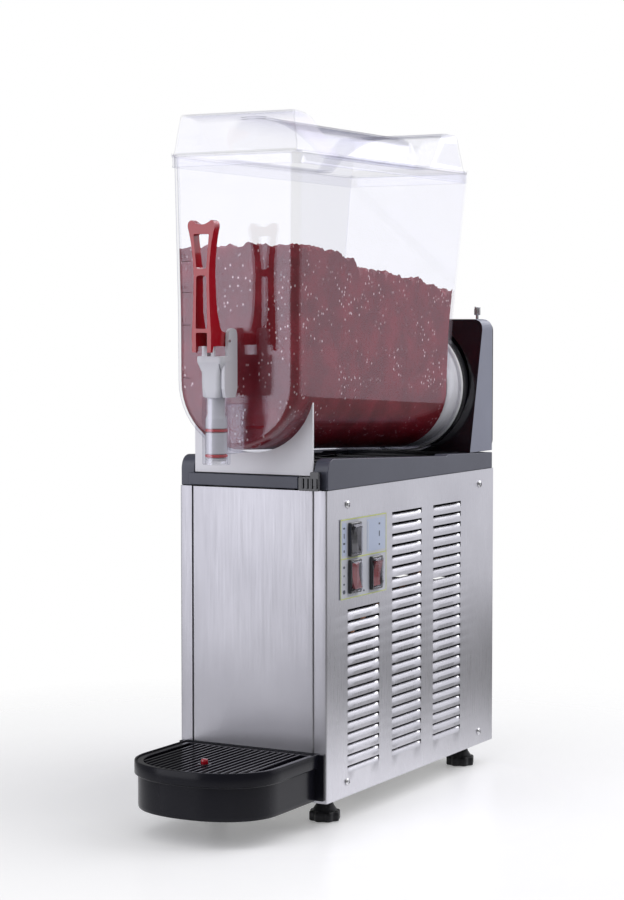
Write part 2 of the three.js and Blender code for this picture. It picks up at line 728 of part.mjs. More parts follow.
function fanMotor() {
  const profile = [[0, 336], [20, 336], [22, 338], [22, 374], [0, 374]];
  const can = turned(profile, 'y', [0, 0, FAN.z]);
  const shaft = rod(3, 372, 385, 'y', [0, 0, FAN.z], SMALL);
  const collar = ring(21, 26, 364, 371.6, 'y', [0, 0, FAN.z]);
  add('fan_motor', join(can, shaft, collar), ZINC);
}

function fanBlade() {
  const [y, z] = [FAN.y - 3, FAN.z];
  const hub = rod(18, y - 1, y + 11, 'y', [0, 0, z]);
  const bore = rod(3.4, y - 10, y + 9, 'y', [0, 0, z], SMALL);
  const blades = [];
  for (let i = 0; i < 5; i += 1) {
    const blade = block([14, 66], [-1, 1], [-19, 19]).rotate([14, 0, 0]);
    blades.push(blade.rotate([0, i * 72, 0]).translate([0, y + 5.5, z]));
  }
  add('fan_blade', cut(join(hub, ...blades), bore), ALUMINIUM);
}

function filterDrier() {
  const profile = [
    [0, 60], [3, 60], [3, 72], [9, 80], [9, 150], [3, 158], [3, 170], [0, 170],
  ];
  add('filter_drier', turned(profile, 'z', [-76, 290, 0], SMALL), COPPER);
}

function path(points) {
  return new THREE.CatmullRomCurve3(points.map(([x, y, z]) => new THREE.Vector3(x, y, z)));
}

function pipes() {
  const discharge = path([[0, 160, 184], [0, 164, 220], [-20, 240, 268], [-40, 360, 280],
    [-50, 410, 268], [-50, 416, 244]]);
  add('discharge_pipe', bar(discharge, 3.5, 20, 6), COPPER);
  const suction = path([[40, 404, 503], [40, 425, 503], [46, 440, 486], [68, 434, 440],
    [72, 430, 411], [72, 430, 360], [74, 380, 300], [70, 260, 260], [46, 180, 220], [30, 160, 184]]);
  add('suction_pipe', bar(suction, 4.5, 28, 6), COPPER);
  const liquid = path([[-66, 416, 244], [-74, 400, 262], [-76, 330, 250], [-76, 292, 200],
    [-76, 290, 172]]);
  add('liquid_pipe', bar(liquid, 2.5, 16, 6), COPPER);
}

// ---------- bowl, lid and tap ----------

// Rounded-rectangle sections of the bowl, from the bottom up.
function bowlLoft(inset, top) {
  const levels = [
    { z: 380, half: 83.2, front: -37.3, rear: 366 },
    { z: 514, half: 83.2, front: -37.6, rear: 366 },
    { z: 578, half: 83.2, front: -38, rear: 371 },
    { z: 603, half: 83.2, front: -38.3, rear: 376 },
    { z: BOWL_TOP, half: BOWL_HALF_TOP, front: -41, rear: 410 },
  ];
  if (top > BOWL_TOP) levels.push({ ...levels[4], z: top });
  const radius = BOWL_CORNER - inset;
  return skin(levels.map(({ z, half, front, rear }) => {
    const shape = roundedRect(-half + inset, half - inset, front + inset, rear - inset, radius);
    const points = shape.extractPoints(3).shape.filter((point, i, list) => (
      i === 0 || point.distanceTo(list[i - 1]) > 1e-4));
    if (points[0].distanceTo(points[points.length - 1]) < 1e-4) points.pop();
    return points.map((point) => [point.x, point.y, z]);
  }));
}

// The round-bottomed trough outline, pushed along the tilted axis.
function trough(radius) {
  const shape = new THREE.Shape();
  shape.moveTo(-radius, 0);
  shape.absarc(0, 0, radius, Math.PI, 2 * Math.PI);
  shape.lineTo(radius, 40);
  shape.lineTo(radius + 30, 60);
  shape.lineTo(radius + 30, 340);
  shape.lineTo(-radius - 30, 340);
  shape.lineTo(-radius - 30, 60);
  shape.lineTo(-radius, 40);
  return tilted(prismY(shape, -480, 40, FINE / 2));
}

function bowl() {
  const outside = bowlLoft(0, BOWL_TOP).intersect(trough(BOWL_RADIUS));
  const inside = bowlLoft(BOWL_WALL, BOWL_TOP + 20).intersect(trough(BOWL_RADIUS - BOWL_WALL));
  const collar = tilted(rod(BOWL_RADIUS, -COLLAR_DEPTH, 0, 'y', [0, 0, 0], FINE));
  const collarInside = tilted(rod(BOWL_RADIUS - BOWL_WALL, -COLLAR_DEPTH, 5, 'y', [0, 0, 0], FINE));
  const footPlate = block([-80, 80], [2.5, 5.5], [CASING_DECK + GAP, 500]);
  const tube = rod(TUBE_OUTER, TUBE_BOTTOM, TUBE_TOP, 'z', [0, TAP_Y, 0]);
  const bridge = block([-12, 12], [TAP_Y, -34], [437, 496]);
  const bore = rod(TUBE_INNER, TUBE_BOTTOM - 5, TUBE_TOP + 5, 'z', [0, TAP_Y, 0]);
  const port = rod(8, TAP_Y, -30, 'y', [0, 0, 452], SMALL);
  const shell = join(outside, collar, footPlate, tube, bridge);
  add('bowl', cut(shell, inside, collarInside, bore, port), CLEAR);
}

function humpSide(front, inset) {
  const [foot, top] = [inset ? LID_FOOT : LID_PLATE, LID_TOP - inset];
  const shape = new THREE.Shape();
  if (front) {
    shape.moveTo(-38 + inset, foot);
    shape.lineTo(-34 + inset, top - 10);
    shape.quadraticCurveTo(-33 + inset, top, -24, top);
    shape.lineTo(-8, top - 2);
    shape.quadraticCurveTo(14, top - 6, 28, top - 22);
    shape.lineTo(66 - inset * 1.4, LID_PLATE);
    shape.lineTo(66 - inset * 1.4, foot);
    return shape;
  }
  shape.moveTo(300 + inset * 1.4, foot);
  shape.lineTo(300 + inset * 1.4, LID_PLATE);
  shape.lineTo(350 + inset, top - 6);
  shape.quadraticCurveTo(356, top, 366, top);
  shape.lineTo(380, top);
  shape.quadraticCurveTo(395 - inset, top - 2, 399 - inset, top - 14);
  shape.lineTo(406 - inset, foot);
  return shape;
}

function humpFace(inset) {
  const [foot, top] = [inset ? LID_FOOT : LID_PLATE, LID_TOP - inset];
  const shape = new THREE.Shape();
  shape.moveTo(-83.5 + inset, foot);
  shape.lineTo(83.5 - inset, foot);
  shape.lineTo(77.5 - inset, top - 14);
  shape.quadraticCurveTo(75 - inset, top, 62 - inset, top);
  shape.lineTo(-62 + inset, top);
  shape.quadraticCurveTo(-75 + inset, top, -77.5 + inset, top - 14);
  return shape;
}

// The arched ridge that joins the two humps.
function ridge(inset) {
  const [half, height] = [58 - inset, LID_TOP - 3 - inset - LID_PLATE];
  const shape = new THREE.Shape();
  shape.moveTo(half, LID_PLATE - inset * 4);
  shape.lineTo(half, LID_PLATE);
  shape.absellipse(0, LID_PLATE, half, height, 0, Math.PI);
  shape.lineTo(-half, LID_PLATE - inset * 4);
  return prismY(shape, 2, 372, 8);
}

function lid() {
  const plate = BOWL_TOP + GAP;
  const rimOutline = roundedRect(-LID_HALF, LID_HALF, LID_FRONT, LID_REAR, 14);
  const rim = prismZ(rimOutline, LID_FOOT, plate + LID_WALL, 4);
  const seat = [-BOWL_HALF_TOP - 0.5, BOWL_HALF_TOP + 0.5, LID_FRONT + 1.5, LID_REAR - 2, 12];
  const under = prismZ(roundedRect(...seat), LID_FOOT - 5, plate, 4);
  const humps = [true, false].map((front) => (
    prismX(humpSide(front, 0), -90, 90, 4).intersect(prismY(humpFace(0), -50, 420, 4))));
  const hollows = [true, false].map((front) => (
    prismX(humpSide(front, LID_WALL), -90, 90, 4).intersect(
      prismY(humpFace(LID_WALL), -50, 420, 4))));
  const shell = join(rim, ...humps, ridge(0));
  add('lid', cut(shell, under, ...hollows, ridge(LID_WALL)), CLEAR);
}

function tapBody() {
  const [y0, y1] = [-96, -62];
  const bottom = TUBE_TOP + GAP;
  const base = turned([[0, bottom], [16.6, bottom], [16.6, 549], [0, 549]], 'z', [0, TAP_Y, 0]);
  const cheeks = [-1, 1].map((side) => {
    const shape = new THREE.Shape();
    shape.moveTo(y0 + 4, 530);
    shape.lineTo(y1, 530);
    shape.lineTo(y1, TAP_PIN_Z);
    shape.absarc(TAP_Y + 4, TAP_PIN_Z, 14, 0, Math.PI);
    shape.lineTo(y0 + 4, 550);
    const [x0, x1] = side < 0 ? [-17.5, -14] : [14, 17.5];
    return prismX(shape, x0, x1, 8);
  });
  const collar = block([-17.5, 17.5], [y0, y1], [538, 549]);
  const bore = rod(10.5, bottom - 5, 543, 'z', [0, TAP_Y, 0]);
  const rodHole = rod(5.4, 530, 560, 'z', [0, TAP_Y, 0], SMALL);
  const pinHole = rod(2.4, -20, 20, 'x', [0, TAP_Y, TAP_PIN_Z], SMALL);
  add('tap_body', cut(join(base, collar, ...cheeks), bore, rodHole, pinHole), WHITE);
}

function tapPiston() {
  const profile = [[0, 431], [11.5, 431]];
  for (const z of PISTON_RING_SEATS) {
    profile.push([12.4, z - 2.6], [9.4, z - 2.6], [9.4, z + 2.6], [12.4, z + 2.6]);
  }
  profile.push([12.4, 480], [10, 483.5], [10, 505], [5, 505], [5, 532], [0, 532]);
  add('tap_piston', turned(profile, 'z', [0, TAP_Y, 0]), WHITE);
  add('piston_ring_lower', torus(11.2, 1.5, 'z', [0, TAP_Y, PISTON_RING_SEATS[0]], MEDIUM, 6), RED);
  add('piston_ring_upper', torus(11.2, 1.5, 'z', [0, TAP_Y, PISTON_RING_SEATS[1]], MEDIUM, 6), RED);
}

function tapSpring() {
  const spring = bar(new Helix(7.8, 6.4, 5, 507), 0.9, 50, 5);
  add('tap_spring', spring.translate([0, TAP_Y, 0]), BRIGHT_STEEL);
}

function handleFront() {
  const shape = new THREE.Shape();
  shape.moveTo(-12.4, 555);
  shape.lineTo(12.4, 555);
  shape.lineTo(12.8, 575);
  shape.quadraticCurveTo(10.4, 610, 10.2, 643);
  shape.quadraticCurveTo(11.5, 676, 17.7, 696);
  shape.quadraticCurveTo(18.5, 703, 13, 704);
  shape.quadraticCurveTo(0, 694, -13, 704);
  shape.quadraticCurveTo(-18.5, 703, -17.7, 696);
  shape.quadraticCurveTo(-11.5, 676, -10.2, 643);
  shape.quadraticCurveTo(-10.4, 610, -12.8, 575);
  return shape;
}

function handleSide() {
  return outline([
    [-112, 555], [-108, 555], [-106, 562], [-74, 562], [-70, TAP_PIN_Z], [-74, 576], [-90, 580],
    [-95, 600], [-98, 650], [-101, 706], [-112, 706],
  ]);
}

function tapHandle() {
  const body = prismY(handleFront(), -115, -60, 4).intersect(prismX(handleSide(), -20, 20));
  const upperWindow = prismY(outline([[-6.2, 650], [6.2, 650], [9.6, 687], [-9.6, 687]]), -130, -50);
  const lowerWindow = prismY(outline([[-7.4, 585], [7.4, 585], [6.2, 643], [-6.2, 643]]), -130, -50);
  const pinHole = rod(2.4, -20, 20, 'x', [0, TAP_Y, TAP_PIN_Z], SMALL);
  add('tap_handle', cut(body, upperWindow, lowerWindow, pinHole), RED);
  add('tap_pin', rod(2, -18.6, 18.6, 'x', [0, TAP_Y, TAP_PIN_Z], SMALL), BRIGHT_STEEL);
}

// ---------- drip tray ----------

// Straight sides and a full, rounded front.
function trayOutline(inset) {
  const [half, straight, reach] = [92 - inset, -91, TRAY_REACH - inset - 91];
  const points = [[half, -0.8 - inset], [-half, -0.8 - inset]];
  const steps = 18;
  for (let i = 0; i <= steps; i += 1) {
    const turn = Math.PI + (i / steps) * Math.PI;
    const [c, s] = [Math.cos(turn), Math.sin(turn)];
    const x = half * Math.sign(c) * Math.abs(c) ** 0.78;
    points.push([x, straight - reach * Math.abs(s) ** 0.78]);
  }
  return outline(points);
}

function dripTray() {
  const outer = join(
    prismZ(trayOutline(0), TRAY_RIM_TOP - 16, TRAY_RIM_TOP),
    prismZ(trayOutline(4), TRAY_BOTTOM, TRAY_RIM_TOP - 10),
  );
  const recess = prismZ(trayOutline(2.5), TRAY_RIM_TOP - 8, TRAY_RIM_TOP + 5);
  const hollow = prismZ(trayOutline(7), TRAY_BOTTOM + 3, TRAY_RIM_TOP);
  const hooks = [-TRAY_HOOK_X, TRAY_HOOK_X].map((x) => (
    block([x - 10, x + 10], [-6, 12], [58, 65])));
  add('drip_tray', cut(join(outer, ...hooks), recess, hollow), GLOSS_BLACK);
}

function dripGrille() {
  const plate = prismZ(trayOutline(3), TRAY_RIM_TOP - 7.7, TRAY_RIM_TOP - 1.5);
  const window = prismZ(trayOutline(11), 0, 200);
  const slots = [];
  for (let i = -9; i <= 9; i += 1) {
    const x = i * 8.2;
    slots.push(block([x - 2.6, x + 2.6], [-200, 0], [TRAY_RIM_TOP - 10, TRAY_RIM_TOP + 5]));
  }
  const openings = join(...slots).intersect(window);
  const floatBoss = rod(8, TRAY_RIM_TOP - 7.7, TRAY_RIM_TOP - 1.5, 'z', [0, FLOAT_Y, 0], SMALL);
  const floatHole = rod(5, TRAY_RIM_TOP - 20, TRAY_RIM_TOP + 5, 'z', [0, FLOAT_Y, 0], SMALL);
  add('drip_grille', cut(join(cut(plate, openings), floatBoss), floatHole), GLOSS_BLACK);
}

function floatIndicator() {
  const profile = [
    [0, 36], [12, 36], [12, 46], [3, 48], [3, TRAY_RIM_TOP - 4], [4.2, TRAY_RIM_TOP - 2],
    [4.2, TRAY_RIM_TOP + 2], [2.6, TRAY_RIM_TOP + 3.6], [0, TRAY_RIM_TOP + 4],
  ];
  add('float_indicator', turned(profile, 'z', [0, FLOAT_Y, 0], SMALL), RED);
}

// ---------- assembly ----------

basePan();
feet();
chassisFrame();
frontPanel();
sidePanel('right_side_panel', 1);
sidePanel('left_side_panel', -1);
panelScrews();
rearPanel();
powerInlet();
switchPlate();
SWITCHES.forEach(rockerSwitch);
controlBox();
topCasing();
bowlCatch();
towerHousing();
towerRearCover();
densityScrew();
loadSwitch();
evaporatorFlange();
bowlGasket();
evaporatorDrum();
evaporatorCoil();
driveShaft();
shaftSeal();
auger();
gearbox();
gearMotor();
compressor();
condenser();
fanShroud();
fanMotor();
fanBlade();
filterDrier();
pipes();
bowl();
lid();
tapBody();
tapPiston();
tapSpring();
tapHandle();
dripTray();
dripGrille();
floatIndicator();

export default machine;
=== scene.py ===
import math

import bmesh
import bpy
from mathutils import Matrix, Vector, noise

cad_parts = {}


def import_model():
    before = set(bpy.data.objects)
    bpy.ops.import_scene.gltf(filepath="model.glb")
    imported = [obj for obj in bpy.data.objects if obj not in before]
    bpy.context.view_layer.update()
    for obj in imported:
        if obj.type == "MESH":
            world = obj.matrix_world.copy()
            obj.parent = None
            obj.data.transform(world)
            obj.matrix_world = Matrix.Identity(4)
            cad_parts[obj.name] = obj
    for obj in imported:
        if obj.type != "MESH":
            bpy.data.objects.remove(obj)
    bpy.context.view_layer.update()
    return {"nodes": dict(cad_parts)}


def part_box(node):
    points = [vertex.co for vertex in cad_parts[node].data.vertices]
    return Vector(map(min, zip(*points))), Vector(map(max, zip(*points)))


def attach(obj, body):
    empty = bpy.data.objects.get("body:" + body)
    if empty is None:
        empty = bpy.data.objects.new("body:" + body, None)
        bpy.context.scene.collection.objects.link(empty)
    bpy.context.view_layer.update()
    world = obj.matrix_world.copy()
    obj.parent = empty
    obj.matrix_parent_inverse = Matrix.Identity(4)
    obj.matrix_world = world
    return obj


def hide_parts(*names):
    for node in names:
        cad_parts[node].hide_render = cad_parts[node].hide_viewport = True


# A single-bowl slush machine. Shapes are given in millimetres in the machine's own frame: X is the
# width, Y = 0 is the steel body's front face and grows to the rear, Z = 0 is the floor. place() turns
# such a point into the frame's metres.

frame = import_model()
nodes = frame["nodes"]

MM = 0.001
FRONT_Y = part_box("front_panel")[0].y

# ---------- sizes, mm ----------

BODY_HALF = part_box("right_side_panel")[1].x / MM
BODY_DEPTH = (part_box("right_side_panel")[1].y - FRONT_Y) / MM
BODY_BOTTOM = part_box("right_side_panel")[0].z / MM
BODY_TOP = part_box("right_side_panel")[1].z / MM
STRIP = 83.5                 # the side panels' folded edges start here
FOLD = 2.4                   # radius of a sheet fold
SHEET = 1.2

LOUVRE_LENGTH = 82
LOUVRE_PITCH = 13.3
LOUVRE_FIRST = 65
LOUVRE_SLIT = 2.9
LOUVRE_DEPTH = 3.8
LOUVRE_COLUMNS = ((51.5, 15), (167, 23), (282, 23))
SCREW_PLACES = ((50.7, 375.7), (50.7, 46.3), (421.2, 375.7), (421.2, 46.3))

AXIS_Y, AXIS_Z, AXIS_RISE = 400, 503, 0.0419     # the cooling cylinder's axis
TROUGH = 83
WALL = 3
CORNER = 12
COLLAR_Y = 366               # the trough's rear end, where the collar starts
TROUGH_LEVEL = 500           # the height at which the trough's length is taken
BOWL_TOP = 781.7
BOWL_LENGTH = 404
BOWL_HALF = ((380, 83), (603, 83), (BOWL_TOP, 86.2))
BOWL_FRONT = ((380, -37.3), (578, -38), (BOWL_TOP, -41))
BOWL_REAR = ((380, COLLAR_Y), (514, COLLAR_Y), (578, 371), (603, 376), (BOWL_TOP, 410))
WALL_ROWS = 14               # steps up a wall, and round the trough, in each section
TROUGH_SIDES = 24
SLUSH_GAP = 0.4
TUNNEL = 75.6                # the auger turns inside this
SLUSH_TOP = ((-36, 676), (0, 675), (45, 671), (80, 665), (100, 661), (113, 651), (152, 651),
             (227, 646), (290, 639), (312, 635), (342, 627), (385, 628))
LID_PLATE = 784.4
LID_TOP = 832.8
LID_MIDDLE, LID_REACH = 184.85, (89, 227.85)     # the rim's middle in Y and its half sizes
LID_CORNER = 14

TAP_Y = -80
TAP = (0, TAP_Y, 0)
RINGS = (("lower", 437), ("upper", 466))         # the piston's rings and their heights
TICKS = (660, 624, 586, 524)
FEET = {"left": -74, "right": 74}
FEET_FRONT, FEET_REAR = 43, 420
DECK = 411
TRAY_TOP = 88
TRAY_BOTTOM = 32
TRAY_HALF = 92
TRAY_REACH = 165
TRAY_STRAIGHT = 91           # the tray's sides run straight forward to here
TRAY_CURVE = 0.9             # 1 makes the tray's front an ellipse, and less makes it squarer
HOOKS = (-50, 50)            # the X places of the tray's two hooks
GRILLE_PITCH = 8.2
DENSITY_SCREW = (85, 445)
FLOAT_Y = -108

SWITCHES = (("power", 63.5, 334), ("mixer", 63.5, 290), ("cooling", 118, 289))
PLATE_X = 101.3


# ---------- outlines, lists of (u, v) ----------

def interpolate(table, value):
    """The value of a table of (place, value) rows, straight between its rows."""
    for (a, p), (b, q) in zip(table, table[1:]):
        if value <= b:
            share = max(0.0, (value - a) / (b - a))
            return p + (q - p) * share
    return table[-1][1]


def arc(u, v, radius, start, end, steps):
    """Points on an arc, in degrees."""
    turns = [math.radians(start + (end - start) * i / steps) for i in range(steps + 1)]
    return [(u + radius * math.cos(t), v + radius * math.sin(t)) for t in turns]


def bend(a, b, c, steps=6):
    """Points on the curve that leaves a towards b and ends at c, without a itself."""
    points = []
    for i in range(1, steps + 1):
        t = i / steps
        weights = ((1 - t) ** 2, 2 * t * (1 - t), t ** 2)
        points.append(tuple(sum(w * p[k] for w, p in zip(weights, (a, b, c))) for k in (0, 1)))
    return points


def rounded(points, radius, steps=4):
    """The outline with its corners turned into curves. radius is one number, or one per corner."""
    radii = radius if isinstance(radius, (list, tuple)) else [radius] * len(points)
    result = []
    for i, corner in enumerate(points):
        corner = Vector(corner)
        before = Vector(points[i - 1]) - corner
        after = Vector(points[(i + 1) % len(points)]) - corner
        if radii[i] <= 0:
            result.append(tuple(corner))
            continue
        half_turn = (math.pi - before.angle(after)) / 2
        reach = radii[i] * math.tan(half_turn)
        reach = min(reach, before.length * 0.49, after.length * 0.49)
        start = tuple(corner + before.normalized() * reach)
        end = tuple(corner + after.normalized() * reach)
        result.append(start)
        result.extend(bend(start, tuple(corner), end, steps))
    return result


def rectangle(u0, u1, v0, v1, radius=0.0, steps=4):
    """Its corners run from (u0, v0) past (u1, v0) and round."""
    return rounded([(u0, v0), (u1, v0), (u1, v1), (u0, v1)], radius, steps)


def lobed(x, y, count, radius):
    """A closed outline round (x, y). radius gives the radius at each step and its turn."""
    points = []
    for i in range(count):
        turn = i / count * 2 * math.pi
        reach = radius(i, turn)
        points.append((x + reach * math.cos(turn), y + reach * math.sin(turn)))
    return points


# ---------- forms: (vertices, faces) of closed or open shells ----------

ALONG = {
    "x": lambda u, v, w: (w, u, v),
    "y": lambda u, v, w: (u, w, v),
    "z": lambda u, v, w: (u, v, w),
}


def skin(rings, closed=True):
    """A shell over rings of equal length, with both ends capped when closed."""
    count = len(rings[0])
    vertices = [point for ring in rings for point in ring]
    faces = []
    for i in range(len(rings) - 1):
        for j in range(count):
            a, b = i * count + j, i * count + (j + 1) % count
            faces.append((a, b, b + count, a + count))
    if closed:
        last = (len(rings) - 1) * count
        faces.append(tuple(range(count - 1, -1, -1)))
        faces.append(tuple(range(last, last + count)))
    return vertices, faces


def skin_capped(rings):
    """A skin over rings, closed over its last ring only."""
    vertices, faces = skin(rings, closed=False)
    return vertices, faces + [tuple(range(len(vertices) - len(rings[-1]), len(vertices)))]


def prism(points, axis, start, end):
    """An outline pushed along an axis. Its (u, v) are (y, z), (x, z) or (x, y)."""
    return skin([[ALONG[axis](u, v, w) for u, v in points] for w in (start, end)])


def block(x, y, z):
    return prism(rectangle(x[0], x[1], y[0], y[1]), "z", z[0], z[1])


def turned(profile, axis, centre, segments=48):
    """A profile of (radius, distance) points turned round an axis; its ends lie on the axis or meet."""
    rings = []
    for radius, along in profile:
        ring = []
        for u, v in arc(0, 0, max(radius, 1e-4), 0, 360, segments)[:-1]:
            x, y, z = ALONG[axis](u, v, along)
            ring.append((x + centre[0], y + centre[1], z + centre[2]))
        rings.append(ring)
    if profile[0] == profile[-1]:
        return skin(rings, closed=False)
    return skin(rings)


def rod(radius, start, end, axis, centre, segments):
    return turned([(0, start), (radius, start), (radius, end), (0, end)], axis, centre, segments)


def layered(outline, profile, axis="z"):
    """A closed skin over outline(inset) at each (inset, level) of a profile."""
    return skin([[ALONG[axis](u, v, level) for u, v in outline(inset)] for inset, level in profile])


def grid(rows):
    """An open sheet over rows of points."""
    width = len(rows[0])
    faces = []
    for i in range(len(rows) - 1):
        for j in range(width - 1):
            a = i * width + j
            faces.append((a, a + 1, a + width + 1, a + width))
    return [point for row in rows for point in row], faces


def joined(*forms):
    vertices, faces = [], []
    for form_vertices, form_faces in forms:
        start = len(vertices)
        vertices.extend(form_vertices)
        faces.extend(tuple(i + start for i in face) for face in form_faces)
    return vertices, faces


def moved(form, matrix):
    return [tuple(matrix @ Vector(v)) for v in form[0]], form[1]


def on_axis(form):
    """From the cooling cylinder's frame, whose -Y runs forward along its axis, to the machine's."""
    tilt = Matrix.Rotation(-math.atan(AXIS_RISE), 4, "X")
    return moved(form, Matrix.Translation((0, AXIS_Y, AXIS_Z)) @ tilt)


def turned_on_axis(profile):
    """A profile turned round the cooling cylinder's axis. Its distances grow to the rear."""
    return on_axis(turned(profile, "y", (0, 0, 0), 96))


def axis_height(y):
    return AXIS_Z + (AXIS_Y - y) * AXIS_RISE


# ---------- pieces ----------

def place(x, y, z):
    return (x * MM, FRONT_Y + y * MM, z * MM)


def add_object(name, data):
    obj = bpy.data.objects.new(name, data)
    bpy.context.scene.collection.objects.link(obj)
    return obj


def mesh_object(name, form, weld=True):
    mesh = bpy.data.meshes.new(name)
    mesh.from_pydata([place(*v) for v in form[0]], [], form[1])
    if weld:
        work = bmesh.new()
        work.from_mesh(mesh)
        bmesh.ops.remove_doubles(work, verts=work.verts, dist=2e-6)
        bmesh.ops.recalc_face_normals(work, faces=work.faces)
        work.to_mesh(mesh)
        work.free()
    return add_object(name, mesh)


def settle(obj):
    """Turns the object's modifiers into plain mesh."""
    bpy.context.view_layer.update()
    evaluated = obj.evaluated_get(bpy.context.evaluated_depsgraph_get())
    mesh = bpy.data.meshes.new_from_object(evaluated)
    obj.modifiers.clear()
    obj.data = mesh


def combine(obj, form, operation="DIFFERENCE"):
    """Cuts a form from the object, or joins it."""
    tool = mesh_object(obj.name + "_tool", form)
    modifier = obj.modifiers.new("combine", "BOOLEAN")
    modifier.operation = operation
    modifier.solver = "EXACT"
    modifier.object = tool
    settle(obj)
    bpy.data.objects.remove(tool)


def thicken(obj, thickness, offset=-1.0):
    modifier = obj.modifiers.new("thicken", "SOLIDIFY")
    modifier.thickness = thickness * MM
    modifier.offset = offset
    settle(obj)


def bevel(obj, width, segments=2, angle=30):
    modifier = obj.modifiers.new("bevel", "BEVEL")
    modifier.width = width * MM
    modifier.segments = segments
    modifier.limit_method = "ANGLE"
    modifier.angle_limit = math.radians(angle)
    modifier.use_clamp_overlap = True
    smooth(obj, 180)
    obj.modifiers.new("normals", "WEIGHTED_NORMAL").keep_sharp = True
    settle(obj)


def smooth(obj, angle=35):
    mesh = obj.data
    mesh.polygons.foreach_set("use_smooth", [True] * len(mesh.polygons))
    mesh.set_sharp_from_angle(angle=math.radians(angle))


def finish(obj, material, body, slot, *replaced):
    """Gives a piece its material and body, and hides the CAD nodes that it stands for. slot is not used."""
    materials = material if isinstance(material, (list, tuple)) else [material]
    obj.data.materials.clear()
    for each in materials:
        obj.data.materials.append(each)
    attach(obj, body)
    if replaced:
        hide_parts(*replaced)
    return obj


def piece(name, form, material, body, slot, *replaced, edge=0.0, segments=2, angle=35):
    """A closed piece from a form, with bevelled edges when edge is given."""
    obj = mesh_object(name, form)
    if edge:
        bevel(obj, edge, segments)
    else:
        smooth(obj, angle)
    return finish(obj, material, body, slot, *replaced)


# ---------- materials ----------

class Finish:
    """A material's node tree, with short calls for the nodes that the finishes share."""

    def __init__(self, name):
        self.material = bpy.data.materials.new(name)
        self.material.use_nodes = True
        self.tree = self.material.node_tree
        self.shader = self.tree.nodes["Principled BSDF"]
        self.output = self.tree.nodes["Material Output"]
        self.coordinates = self.tree.nodes.new("ShaderNodeTexCoord").outputs["Object"]

    def node(self, kind, **values):
        made = self.tree.nodes.new("ShaderNode" + kind)
        for key, value in values.items():
            setattr(made, key, value)
        return made

    def link(self, source, target):
        self.tree.links.new(source, target)

    def set(self, **values):
        for key, value in values.items():
            self.shader.inputs[key.replace("_", " ")].default_value = value

    def mapped(self, scale):
        mapping = self.node("Mapping")
        mapping.inputs["Scale"].default_value = scale
        self.link(self.coordinates, mapping.inputs["Vector"])
        return mapping.outputs["Vector"]

    def noise(self, scale, detail=3.0, stretch=(1, 1, 1), roughness=0.5):
        made = self.node("TexNoise")
        made.inputs["Scale"].default_value = scale
        made.inputs["Detail"].default_value = detail
        made.inputs["Roughness"].default_value = roughness
        self.link(self.mapped(stretch), made.inputs["Vector"])
        return made.outputs["Fac"]

    def ramp(self, source, *stops):
        made = self.node("ValToRGB")
        elements = made.color_ramp.elements
        while len(elements) < len(stops):
            elements.new(0.5)
        for element, (position, colour) in zip(elements, stops):
            element.position = position
            element.color = (*colour, 1)
        self.link(source, made.inputs["Fac"])
        return made.outputs["Color"]

    def range(self, source, low, high, start=0.3, end=0.7):
        made = self.node("MapRange")
        made.inputs["From Min"].default_value = start
        made.inputs["From Max"].default_value = end
        made.inputs["To Min"].default_value = low
        made.inputs["To Max"].default_value = high
        self.link(source, made.inputs["Value"])
        return made.outputs["Result"]

    def power(self, source, exponent):
        made = self.node("Math", operation="POWER")
        made.inputs[1].default_value = exponent
        self.link(source, made.inputs[0])
        return made.outputs["Value"]

    def blend(self, factor, first, second):
        """A colour between two, each a link or a fixed colour."""
        made = self.node("Mix", data_type="RGBA")
        self.link(factor, made.inputs["Factor"])
        for name, colour in (("A", first), ("B", second)):
            if isinstance(colour, tuple):
                made.inputs[name].default_value = colour
            else:
                self.link(colour, made.inputs[name])
        return made.outputs["Result"]

    def surfaces(self, factor, first, second):
        """Shows a mix of two surfaces. factor is a link or a number."""
        made = self.node("MixShader")
        if isinstance(factor, float):
            made.inputs["Fac"].default_value = factor
        else:
            self.link(factor, made.inputs["Fac"])
        self.link(first.outputs["BSDF"], made.inputs[1])
        self.link(second.outputs["BSDF"], made.inputs[2])
        self.link(made.outputs["Shader"], self.output.inputs["Surface"])

    def bump(self, source, strength, distance):
        made = self.node("Bump")
        made.inputs["Strength"].default_value = strength
        made.inputs["Distance"].default_value = distance
        self.link(source, made.inputs["Height"])
        self.link(made.outputs["Normal"], self.shader.inputs["Normal"])

    def colour(self, source):
        self.link(source, self.shader.inputs["Base Color"])

    def roughness(self, source):
        self.link(source, self.shader.inputs["Roughness"])


def brushed_metal(name, dark, light, rough, lines=(1, 1, 0.012), bump=0.06):
    """Sheet metal with fine brush lines and faint clouding."""
    made = Finish(name)
    made.set(Metallic=1.0, Anisotropic=0.35)
    brush = made.noise(1500, 4, lines)
    cloud = made.noise(9, 3)
    made.colour(made.ramp(cloud, (0.3, dark), (0.7, light)))
    made.roughness(made.range(brush, rough - 0.05, rough + 0.07))
    made.bump(brush, bump, 0.0002)
    return made.material


def machined_metal(name, dark, light, rough):
    made = Finish(name)
    made.set(Metallic=1.0)
    grain = made.noise(700, 3)
    made.colour(made.ramp(grain, (0.35, dark), (0.65, light)))
    made.roughness(made.range(grain, rough - 0.06, rough + 0.08))
    made.bump(grain, 0.08, 0.0001)
    return made.material


